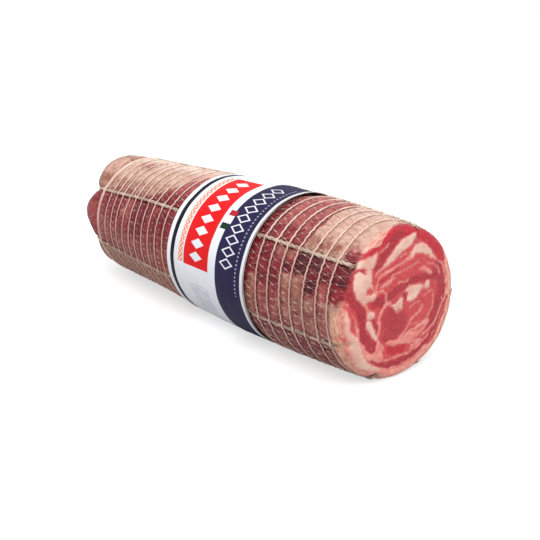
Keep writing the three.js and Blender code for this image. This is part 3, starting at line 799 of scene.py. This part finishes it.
def twine_line(k):
    """A twine's middle line, the ways across and up from it, and where it starts."""
    d = np.arange(TWINE_STARTS[k], DOME_START, 1.3)
    a = twine_at(k, d) + 0.5 * np.sin(d / 23 + k)
    pressed_and_shaded = 0.5 * bell(to_hoop(d, a), 1.8) * (1 - under_band(d))
    sunk = -0.7 if k == 1 else 0.1
    barrel = barrel_point(d, a, sunk - pressed_and_shaded - 0.6 * under_band(d), 2 * CLEAR_OF_FLOOR)
    turn = np.linspace(1.5, 86, 46)
    dome = dome_point(turn, np.full(len(turn), TWINES_BY_TIED_END[k]), 0.15, 1.2, 2 * CLEAR_OF_FLOOR)
    middle = np.concatenate([barrel, dome])
    along = unit(np.gradient(middle, axis=0))
    late = ease(np.arange(len(middle)), len(barrel) - 4, len(barrel) + 20)[:, None]
    out = mix(outward_of(middle), unit(middle - FACE_MIDDLE + [300, 0, 0]), late)
    across = unit(np.cross(along, out))
    return middle, across, np.cross(across, along), d[0], a[0]


def frayed_end(k, d, a):
    """Loose fibres where a twine ends by the cut face."""
    rng = random.Random(k)
    s = np.linspace(0, 1, 5)
    fibres = []
    for _ in range(14):
        length, bend = rng.uniform(2, 5), rng.uniform(-3, 3)
        along = d + 1.0 - s * length
        turn = a + rng.uniform(-0.9, 0.9) + bend * s**2
        lift = rng.uniform(0.2, 0.8) + s * rng.uniform(-0.5, 1.2)
        radius = meat_radius(np.maximum(along, 0.6), turn) + lift * 0.6
        fibres.append(place(np.maximum(along, -0.4), turn, radius, CLEAR_OF_FLOOR))
    fibres = np.array(fibres)
    return strands(fibres, outward_of(fibres), 0.16, 4)


def make_twines():
    parts = []
    for k in range(TWINES):
        middle, across, up, d, a = twine_line(k)
        run = np.concatenate([[0], np.cumsum(np.linalg.norm(np.diff(middle, axis=0), axis=1))])
        # Two yarns turn round each other
        for half in (0, math.pi):
            spin = (run / TWINE_TURN * 2 * math.pi + half)[:, None]
            path = middle + 0.6 * (np.cos(spin) * up * 0.7 + np.sin(spin) * across)
            parts.append(strands(path[None], up[None], TWINE_YARN, 8))
        parts.append(frayed_end(k, d, a))
    # The knot and ring in which the twines meet
    a = np.arange(0, 360, 10.0)
    for turn, lift, size in ((83.5, 1.2, 1.1), (84.5, 2.6, 0.95)):
        ring = dome_point(np.full(len(a), turn), a) - [lift, 0, 0]
        out = np.tile([-1.0, 0, 0], (len(a), 1))
        parts.append(strands(ring[None], out[None], size, 8, True))
    return yarn_mesh("net_twines", parts)


# The paper band

BAND_COLUMNS = 560
BAND_ROWS = 140


def band_lift(d, a, far, last_angle):
    """How far the paper stands off: proud at its edges, over the hoops and where it is slack and glued."""
    near_edge = 0.9 * bell(turn_between(a, 5), 45) * np.exp(-(d - BAND_NEAR) / 5)
    far_edge = 0.5 * bell(turn_between(a, 90), 70) * np.exp(-(far - d) / 4)
    over_hoops = 0.12 * bell(to_hoop(d, a), 2.5)
    spots = place(d, a, outer_radius(d))
    slack = 0.35 * wavy(spots * [0.5, 1, 1], 26, 41) + 0.1 * wavy(spots, 8, 42)
    return near_edge + far_edge + over_hoops + slack + ease(a, last_angle - 22, last_angle - 13) * 0.55


def make_band():
    """A printed sheet wrapped round the roll, its end glued over its start at the back."""
    last_angle = BAND_SEAM + BAND_OVERLAP
    a = np.linspace(BAND_SEAM - 360, last_angle, BAND_COLUMNS)
    far = BAND_FAR + 0.8 * bell(turn_between(a, 95), 40)
    d = mix(BAND_NEAR, far, np.linspace(0, 1, BAND_ROWS)[:, None])
    a = np.broadcast_to(a, d.shape)
    radius = outer_radius(d) + band_lift(d, a, far, last_angle)
    points = [place(d, a, radius - 0.1, 0.3 + PAPER), place(d, a, radius - 0.1 - PAPER, 0.3)]
    points = np.concatenate(points)
    front, back = np.arange(points.size // 3).reshape(2, BAND_ROWS, BAND_COLUMNS)
    start = np.stack([front[:-1, 0], front[1:, 0], back[1:, 0], back[:-1, 0]], axis=-1)
    end = np.stack([front[1:, -1], front[:-1, -1], back[:-1, -1], back[1:, -1]], axis=-1)
    quads = np.concatenate([ring_quads(np.concatenate([front, back[::-1]]).T), start, end])
    values = {"along": d, "around": a, "from_near": d - BAND_NEAR, "from_far": far - d}
    # The navy field was printed a little askew
    values["navy_edge"] = 128.2 + 0.016 * np.abs(a - 60)
    values = {key: np.tile(value.ravel(), 2) for key, value in values.items()}
    values["printed"] = np.repeat([1.0, 0.0], d.size)
    return make_mesh("paper_band", points, quads, (), values)


# Material making

class Recipe:
    """A material's or a group's nodes, made with few words. Its colours are given as for paint."""

    def __init__(self, tree):
        self.tree = tree

    def node(self, kind, **settings):
        n = self.tree.nodes.new(kind)
        count = len(self.tree.nodes)
        n.location = (200 * (count % 8), -220 * (count // 8))
        for key, value in settings.items():
            setattr(n, key, value)
        return n

    def put(self, socket, value):
        if isinstance(value, bpy.types.NodeSocket):
            self.tree.links.new(value, socket)
        else:
            socket.default_value = paint(*value) if socket.type == "RGBA" else value

    def put_all(self, sockets, values):
        for socket, value in zip(sockets, values):
            self.put(socket, value)

    def maths(self, operation, a, b=0.0):
        n = self.node("ShaderNodeMath", operation=operation)
        self.put_all(n.inputs, (a, b))
        return n.outputs[0]

    def add(self, a, b):
        return self.maths("ADD", a, b)

    def take(self, a, b):
        return self.maths("SUBTRACT", a, b)

    def times(self, a, b):
        return self.maths("MULTIPLY", a, b)

    def most(self, a, b):
        return self.maths("MAXIMUM", a, b)

    def swing(self, value, amount):
        """A value around 0.5, as a swing around 0."""
        return self.times(self.take(value, 0.5), amount)

    def step(self, value, low, high, to_low=0.0, to_high=1.0):
        n = self.node("ShaderNodeMapRange", interpolation_type="SMOOTHSTEP")
        self.put_all(n.inputs, (value, low, high, to_low, to_high))
        return n.outputs[0]

    def blend(self, share, a, b):
        n = self.node("ShaderNodeMix", data_type="RGBA")
        self.put_all((n.inputs[0], n.inputs[6], n.inputs[7]), (share, a, b))
        return n.outputs[2]

    def shade(self, value, low, high, a, b):
        """A colour that goes from a to b as a value goes from low to high."""
        return self.blend(self.step(value, low, high), a, b)

    def tint(self, under, mask, amount, over):
        return self.blend(self.times(mask, amount), under, over)

    def number(self, name):
        return self.node("ShaderNodeAttribute", attribute_name=name).outputs["Fac"]

    def vector(self, name):
        return self.node("ShaderNodeAttribute", attribute_name=name).outputs["Vector"]

    def place(self):
        return self.node("ShaderNodeTexCoord").outputs["Object"]

    def stretch(self, vector, scale):
        n = self.node("ShaderNodeMapping")
        self.put_all((n.inputs["Vector"], n.inputs["Scale"]), (vector, scale))
        return n.outputs[0]

    def grain(self, vector, scale, detail=3.0, rough=0.55, warp=0.0):
        n = self.node("ShaderNodeTexNoise")
        sockets = [n.inputs[key] for key in ("Vector", "Scale", "Detail", "Roughness", "Distortion")]
        self.put_all(sockets, (vector, scale, detail, rough, warp))
        return n.outputs[0]

    def group(self, group, **inputs):
        n = self.node("ShaderNodeGroup", node_tree=group)
        for key, value in inputs.items():
            self.put(n.inputs[key.capitalize()], value)
        return n.outputs


def new_group(name, inputs, outputs):
    """inputs holds the name, kind and first value of each socket, and outputs the names."""
    group = bpy.data.node_groups.new(name, "ShaderNodeTree")
    for label, kind, value in inputs:
        socket = group.interface.new_socket(label, in_out="INPUT", socket_type=kind)
        if value is not None:
            socket.default_value = value
    for label in outputs:
        group.interface.new_socket(label, in_out="OUTPUT", socket_type="NodeSocketFloat")
    recipe = Recipe(group)
    return group, recipe, recipe.node("NodeGroupInput").outputs, recipe.node("NodeGroupOutput").inputs


def make_mottle_group():
    """Uneven tone at two sizes, such as cured meat, thread and paper all have."""
    group, r, given, out = new_group("Mottle", [
        ("Place", "NodeSocketVector", None),
        ("Scale", "NodeSocketFloat", 100.0),
        ("Amount", "NodeSocketFloat", 1.0),
    ], ["Tone", "Fine"])
    broad = r.grain(given["Place"], given["Scale"], 2.0)
    fine = r.grain(given["Place"], r.times(given["Scale"], 4.3), 3.0, 0.65)
    both = r.add(r.times(broad, 0.65), r.times(fine, 0.35))
    r.put(out["Tone"], r.add(r.swing(both, given["Amount"]), 0.5))
    r.put(out["Fine"], fine)
    return group


def make_yarn_group():
    """Turned strands of a yarn, with loose fibres."""
    group, r, given, out = new_group("Turned yarn", [
        ("Turns", "NodeSocketFloat", 2.0), ("Strands", "NodeSocketFloat", 1.0),
    ], ["Groove", "Fibre"])
    run = r.times(r.number("run"), given["Turns"])
    split = r.node("ShaderNodeSeparateXYZ")
    r.put(split.inputs[0], r.vector("twist"))
    one_way = r.times(r.maths("SINE", run), split.outputs[0])
    wave = r.add(one_way, r.times(r.maths("COSINE", run), split.outputs[1]))
    groove = r.step(r.maths("ABSOLUTE", wave), 0.0, 0.75)
    r.put(out["Groove"], r.add(r.times(groove, given["Strands"]), r.take(1.0, given["Strands"])))
    r.put(out["Fibre"], r.grain(r.stretch(r.place(), (1.0, 2.0, 2.0)), 1500.0, 3.0, 0.7))
    return group


def make_bar_group():
    """1 where a value lies within half a width of a middle, with crisp printed edges."""
    group, r, given, out = new_group("Printed bar", [
        ("Value", "NodeSocketFloat", 0.0),
        ("Middle", "NodeSocketFloat", 0.0),
        ("Half", "NodeSocketFloat", 1.0),
    ], ["Ink"])
    off = r.maths("ABSOLUTE", r.take(given["Value"], given["Middle"]))
    r.put(out["Ink"], r.step(r.take(given["Half"], off), -0.12, 0.12))
    return group


def new_material(name):
    material = bpy.data.materials.new(name)
    material.use_nodes = True
    material.node_tree.nodes.clear()
    recipe = Recipe(material.node_tree)
    surface = recipe.node("ShaderNodeBsdfPrincipled")
    recipe.put(recipe.node("ShaderNodeOutputMaterial").inputs[0], surface.outputs[0])
    return material, recipe, surface.inputs


def relief(r, surface, height, strength, distance):
    bump = r.node("ShaderNodeBump")
    bump.inputs["Strength"].default_value = strength
    bump.inputs["Distance"].default_value = distance
    r.put(bump.inputs["Height"], height)
    r.put(surface["Normal"], bump.outputs[0])


# The meat's finish

def lean_of_face(r, lay, fibre):
    """Lean in its layers, brighter and deeper in places, with pale veins through it."""
    streak = r.grain(lay, 0.55, 4.0, 0.6, 0.6)
    lean = r.shade(streak, 0.35, 0.68, (200, 58, 70), (212, 80, 82))
    lean = r.tint(lean, r.step(fibre, 0.5, 0.7), 0.4, (228, 116, 110))
    bright = r.step(r.add(r.number("bright"), r.swing(streak, 0.7)), 0.05, 0.8)
    lean = r.blend(bright, lean, r.shade(fibre, 0.42, 0.7, (190, 24, 48), (208, 52, 68)))
    deep = r.step(r.add(r.number("deep"), r.swing(streak, 0.9)), 0.1, 0.9)
    lean = r.blend(deep, lean, r.shade(fibre, 0.42, 0.72, (164, 34, 52), (194, 62, 74)))
    vein = r.maths("ABSOLUTE", r.take(r.grain(lay, 0.9, 2.0, 0.5, 0.8), 0.5))
    return r.tint(lean, r.step(vein, 0.03, 0.0), 0.4, (236, 142, 132))


def cut_face(r, spot, lay, fibre, tone, broad_tone):
    """The cut face's colour, lean under pink fat under cream fat, and how deep in fat each place is."""
    crumb = r.grain(spot, 420.0, 4.0, 0.65)
    pink_depth = r.add(r.number("pink_fat"), r.add(r.swing(crumb, 1.7), r.swing(fibre, 2.8)))
    pink = r.shade(tone, 0.35, 0.65, (228, 126, 118), (238, 160, 148))
    rind = r.shade(r.grain(lay, 0.7, 3.0, 0.5), 0.38, 0.6, (218, 128, 112), (238, 182, 163))
    pink = r.blend(r.number("rind"), pink, rind)
    face = r.blend(r.step(pink_depth, -0.8, 0.8), lean_of_face(r, lay, fibre), pink)
    cream_depth = r.add(r.number("cream"), r.add(r.swing(crumb, 1.2), r.swing(fibre, 1.0)))
    cream = r.shade(broad_tone, 0.3, 0.7, (228, 172, 156), (242, 204, 188))
    cream = r.tint(cream, r.step(fibre, 0.5, 0.68), 0.35, (232, 156, 144))
    face = r.tint(face, r.step(cream_depth, -1.9, 0.2), 0.6, (232, 142, 132))
    face = r.blend(r.step(cream_depth, -0.55, 0.75), face, cream)
    return face, r.most(pink_depth, cream_depth)


def rim_fat(r, lay, tone):
    """Yellower fat along the rim, with orange streaks that run round it."""
    streak = r.step(r.grain(lay, 0.62, 3.0, 0.55, 0.3), 0.5, 0.63)
    return r.blend(streak, r.blend(tone, (214, 172, 138), (238, 198, 168)), (204, 104, 80))


def outside(r, spot, tone):
    """Lean seen through a dried skin, and fat from peach to tan, with a painted highlight on top and
    painted shade along the net.
    """
    ragged = r.swing(r.grain(spot, 190.0, 5.0, 0.68), 1.5)
    red = r.shade(tone, 0.3, 0.7, (98, 8, 24), (146, 38, 48))
    red = r.blend(r.number("pink"), red, r.shade(tone, 0.35, 0.65, (150, 58, 64), (200, 112, 108)))
    red = r.tint(red, r.number("tan"), 0.85, r.shade(tone, 0.35, 0.65, (124, 48, 46), (158, 75, 69)))
    red = r.blend(r.step(r.add(r.number("dark"), ragged), 0.2, 0.95), red, (74, 18, 30))
    fat = r.shade(tone, 0.32, 0.68, (198, 158, 138), (221, 191, 173))
    fat = r.tint(fat, r.number("pink"), 0.6, (212, 142, 130))
    # Painted highlight: the fat is paler on the top of the roll
    fat = r.tint(fat, r.number("pale"), 0.9, (246, 228, 214))
    # Brown fat, which low on the front also stands for painted shade of the lower side
    brown = r.shade(tone, 0.35, 0.65, (138, 85, 71), (172, 121, 100))
    fat = r.blend(r.step(r.add(r.number("tan"), ragged), 0.15, 0.9), fat, brown)
    skin = r.blend(r.step(r.add(r.number("lean"), ragged), 0.18, 0.82), fat, red)
    film = r.step(r.grain(r.stretch(spot, (0.6, 1.0, 1.0)), 430.0, 4.0, 0.72, 0.8), 0.52, 0.72)
    skin = r.tint(skin, film, 0.3, (206, 144, 140))
    # Painted shade along the valleys under the net
    return r.tint(skin, r.number("pressed_and_shaded"), 0.42, (80, 32, 32))


def cured_meat(mottle):
    material, r, surface = new_material("cured pork belly")
    spot = r.place()
    lay = r.vector("lay")
    fibre = r.grain(lay, 2.2, 3.0, 0.6, 0.4)
    small = r.group(mottle, place=spot, scale=160.0, amount=1.0)
    broad = r.group(mottle, place=spot, scale=55.0, amount=1.3)
    face, fat_depth = cut_face(r, spot, lay, fibre, small["Tone"], broad["Tone"])
    face = r.tint(face, r.number("rim"), 0.8, rim_fat(r, lay, small["Tone"]))
    r.put(surface["Base Color"], r.blend(r.number("cut"), outside(r, spot, small["Tone"]), face))
    r.put(surface["Roughness"], r.step(small["Fine"], 0.3, 0.75, 0.3, 0.52))
    surface["Specular IOR Level"].default_value = 0.28
    r.put(surface["Coat Weight"], r.step(r.number("cut"), 0.0, 1.0, 0.03, 0.09))
    surface["Coat Roughness"].default_value = 0.25
    height = r.add(r.times(small["Fine"], 0.5), r.times(fibre, 0.35))
    height = r.add(height, r.times(r.step(fat_depth, -0.4, 0.6), 0.25))
    relief(r, surface, height, 0.3, 0.0005)
    return material


# The net's and the band's finishes

def yarn(name, groups, pale, shaded, stained_and_shaded, stain_and_shade_share, turns, strands_share, uneven=0.0):
    """Its colours, how much of the stain and the painted side shade shows, how closely its strands turn,
    how far they part, and how much the threads differ."""
    turned_yarn, mottle = groups
    material, r, surface = new_material(name)
    turned = r.group(turned_yarn, turns=turns, strands=strands_share)
    tone = r.group(mottle, place=r.place(), scale=90.0, amount=1.6)["Tone"]
    colour = r.shade(tone, 0.25, 0.75, shaded, pale)
    # Painted shade in the grooves between the turned strands
    colour = r.tint(colour, r.take(1.0, turned["Groove"]), 0.55, shaded)
    colour = r.tint(colour, r.step(turned["Fibre"], 0.55, 0.75), 0.3, (250, 240, 228))
    # The side colour: partly the meat's stain, partly painted shade of the sides
    colour = r.tint(colour, r.number("stain_and_side_shade"), stain_and_shade_share, stained_and_shaded)
    colour = r.tint(colour, r.step(r.number("which"), 0.2, 0.9), uneven, (150, 88, 82))
    r.put(surface["Base Color"], colour)
    r.put(surface["Roughness"], r.step(turned["Fibre"], 0.2, 0.8, 0.65, 0.95))
    surface["Specular IOR Level"].default_value = 0.25
    surface["Sheen Weight"].default_value = 0.15
    relief(r, surface, r.add(turned["Groove"], r.times(turned["Fibre"], 0.4)), 0.6, 0.0003)
    return material


def printed_paper(mottle, bar_group):
    """The printing is placed in mm along the roll and degrees round it."""
    material, r, surface = new_material("printed paper")
    along, around = r.number("along"), r.number("around")
    from_near, from_far = r.number("from_near"), r.number("from_far")

    def bar(value, middle, half):
        return r.group(bar_group, value=value, middle=middle, half=half)[0]

    def box(d, half_d, a, half_a):
        return r.times(bar(along, d, half_d), bar(around, a, half_a))

    def lines(value, pitch, half):
        return bar(r.maths("FLOORED_MODULO", value, pitch), pitch / 2, half)

    def lozenges(d, half_d, start, pitch, count, half_a):
        """A row of plain lozenges round the band."""
        cell = r.maths("FLOORED_MODULO", r.take(around, start - pitch / 2), pitch)
        off_a = r.maths("DIVIDE", r.maths("ABSOLUTE", r.take(cell, pitch / 2)), half_a)
        off_d = r.maths("DIVIDE", r.maths("ABSOLUTE", r.take(along, d)), half_d)
        inside = r.take(1.0, r.step(r.add(off_a, off_d), 0.95, 1.05))
        return r.times(inside, bar(around, start + pitch * (count - 1) / 2, pitch * count / 2))

    tone = r.group(mottle, place=r.place(), scale=60.0, amount=0.8)["Tone"]
    white = r.shade(tone, 0.2, 0.8, (234, 238, 247), (245, 247, 252))
    navy = r.shade(tone, 0.2, 0.8, (34, 26, 64), (44, 36, 78))
    red = r.shade(tone, 0.2, 0.8, (228, 14, 20), (236, 20, 26))
    hollow = r.take(lozenges(116.0, 8.0, 9.0, 8.7, 9, 4.1), lozenges(116.0, 5.8, 9.0, 8.7, 9, 2.95))
    lattice = r.most(lines(r.add(along, around), 4.2, 0.8), lines(r.take(along, around), 4.2, 0.8))
    broken = r.step(r.grain(r.stretch(r.place(), (1.0, 6.0, 6.0)), 90.0, 1.0), 0.40, 0.46)
    fine_lines = r.times(lines(along, 2.3, 0.42), broken)
    beside_red = r.most(box(153.0, 13.0, 117.0, 13.0), box(155.0, 22.0, 165.0, 24.0))
    dots = r.times(lines(around, 2.9, 0.7), box(104.3, 0.8, 50, 50))
    worn = r.step(r.most(r.take(0.45, from_near), r.take(0.35, from_far)), -0.2, 0.2)
    ink = white
    for mask, colour in (
        # The far line, and the navy and red fields
        (bar(from_far, 7.2, 2.5), (20, 18, 34)),
        (r.step(r.take(r.number("navy_edge"), along), -0.12, 0.12), navy),
        (box(157.0, 19.2, 47, 43), red),
        # Lozenges, filled on the red and hollow on the navy
        (lozenges(154.5, 8.5, 12.5, 9.9, 8, 3.9), white),
        (hollow, white),
        # The lattice border along the red
        (box(175.6, 4.4, 47, 43.6), white),
        (box(175.8, 3.4, 47, 43), (252, 234, 222)),
        (r.times(r.times(lattice, box(175.8, 2.8, 47, 42.4)), 0.85), (232, 116, 88)),
        # Three plain squares
        (box(131.0, 4.5, 53.3, 2.4), (14, 54, 38)),
        (box(130.2, 4.4, 47.7, 3.2), white),
        (box(129.4, 4.3, 42.2, 2.3), (184, 30, 50)),
        # Rows of broken lines, a row of dots, the near line and the worn edges
        (r.times(r.times(fine_lines, beside_red), 0.62), (136, 142, 162)),
        (r.times(dots, 0.75), (176, 178, 202)),
        (bar(from_near, 2.4, 1.45), (232, 234, 240)),
        (r.times(worn, 0.6), (232, 228, 222)),
    ):
        ink = r.blend(mask, ink, colour)
    # The back of the paper is bare
    r.put(surface["Base Color"], r.blend(r.number("printed"), (226, 222, 214), ink))
    fibres = r.grain(r.place(), 1400.0, 4.0, 0.7)
    r.put(surface["Roughness"], r.step(fibres, 0.3, 0.7, 0.42, 0.55))
    surface["Specular IOR Level"].default_value = 0.18
    relief(r, surface, r.add(fibres, r.times(tone, 2.0)), 0.12, 0.0003)
    return material


# The studio

def make_floor():
    material, r, surface = new_material("studio floor")
    r.put(surface["Base Color"], r.blend(r.grain(r.place(), 3.0, 2.0), (186, 186, 186), (190, 190, 190)))
    surface["Roughness"].default_value = 0.85
    surface["Specular IOR Level"].default_value = 0.1
    # A lit table top, which keeps the shadow pale
    seen = r.node("ShaderNodeLightPath").outputs["Is Camera Ray"]
    r.put(surface["Emission Color"], r.blend(seen, (0, 0, 0), (255, 255, 255)))
    surface["Emission Strength"].default_value = 0.62
    corners = 64
    turn = np.arange(corners) * 2 * np.pi / corners
    circle = np.stack([np.cos(turn), np.sin(turn), np.zeros(corners)], axis=-1)
    radii = np.array([0.1, 500, 2000, 5000, 12000, 60000])
    quads = ring_quads(np.arange(len(radii) * corners).reshape(-1, corners))
    floor = make_mesh("studio_floor", radii[:, None, None] * circle, quads)
    floor.data.materials.append(material)


def soft_light(name, at, strength, angle):
    """A wide light, as from a large softbox. at is the way it comes from."""
    data = bpy.data.lights.new(name, "SUN")
    data.angle = math.radians(angle)
    data.energy = strength
    light = bpy.data.objects.new(name, data)
    light.rotation_mode = "QUATERNION"
    light.rotation_quaternion = (-Vector(at)).to_track_quat("-Z", "Y")
    light.location = Vector(at)
    bpy.context.scene.collection.objects.link(light)


def make_studio():
    make_floor()
    soft_light("top softbox", (0.35, -0.24, 0.65), 2.45, 50)
    world = bpy.data.worlds.new("studio")
    bpy.context.scene.world = world
    world.use_nodes = True
    world.node_tree.nodes.clear()
    r = Recipe(world.node_tree)
    choice = r.node("ShaderNodeMixShader")
    r.put(choice.inputs[0], r.node("ShaderNodeLightPath").outputs["Is Camera Ray"])
    # The light that falls on things, and the white that is seen behind them
    for socket, strength in ((choice.inputs[1], 0.6), (choice.inputs[2], 1.0)):
        background = r.node("ShaderNodeBackground")
        r.put_all(background.inputs, ((255, 255, 255), strength))
        r.put(socket, background.outputs[0])
    r.put(r.node("ShaderNodeOutputWorld").inputs[0], choice.outputs[0])
    bpy.context.scene.view_settings.view_transform = "Standard"


def make_camera():
    data = bpy.data.cameras.new("camera")
    data.lens = 53.33
    data.sensor_width = 36
    data.clip_start = 0.02
    data.clip_end = 100
    camera = bpy.data.objects.new("camera", data)
    right, up, back = (0.63627, 0.77147, 0.0), (-0.23375, 0.19278, 0.95299), (0.73520, -0.60636, 0.30299)
    at = FACE_MIDDLE * 0.001 + [0.33632, -0.38982, 0.18512]
    camera.matrix_world = Matrix([(right[i], up[i], back[i], at[i]) for i in range(3)] + [(0, 0, 0, 1)])
    bpy.context.scene.collection.objects.link(camera)
    bpy.context.scene.camera = camera


def finish_piece(piece, material, node):
    piece.data.materials.append(material)
    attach(piece, "root")
    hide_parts(node)


make_camera()
make_studio()

mottle = make_mottle_group()
groups = make_yarn_group(), mottle
elastic = yarn("covered elastic", groups, (252, 230, 216), (220, 180, 164), (202, 150, 141), 0.75, 2.6, 0.5)
fine = yarn("fine thread", groups, (238, 208, 194), (214, 172, 160), (190, 132, 124), 0.5, 6.0, 0.4, 0.45)
knotted = yarn("thread knots", groups, (250, 224, 216), (226, 186, 176), (210, 158, 150), 0.5, 6, 0.4, 0.3)
cotton = yarn("cotton twine", groups, (228, 207, 188), (170, 138, 118), (164, 130, 114), 0.45, 3.4, 0.9)

finish_piece(make_meat(), cured_meat(mottle), "meat")
finish_piece(make_hoops(), elastic, "net")
threads, knots = make_threads()
finish_piece(threads, fine, "net")
finish_piece(knots, knotted, "net")
finish_piece(make_twines(), cotton, "net")
finish_piece(make_band(), printed_paper(mottle, make_bar_group()), "band")
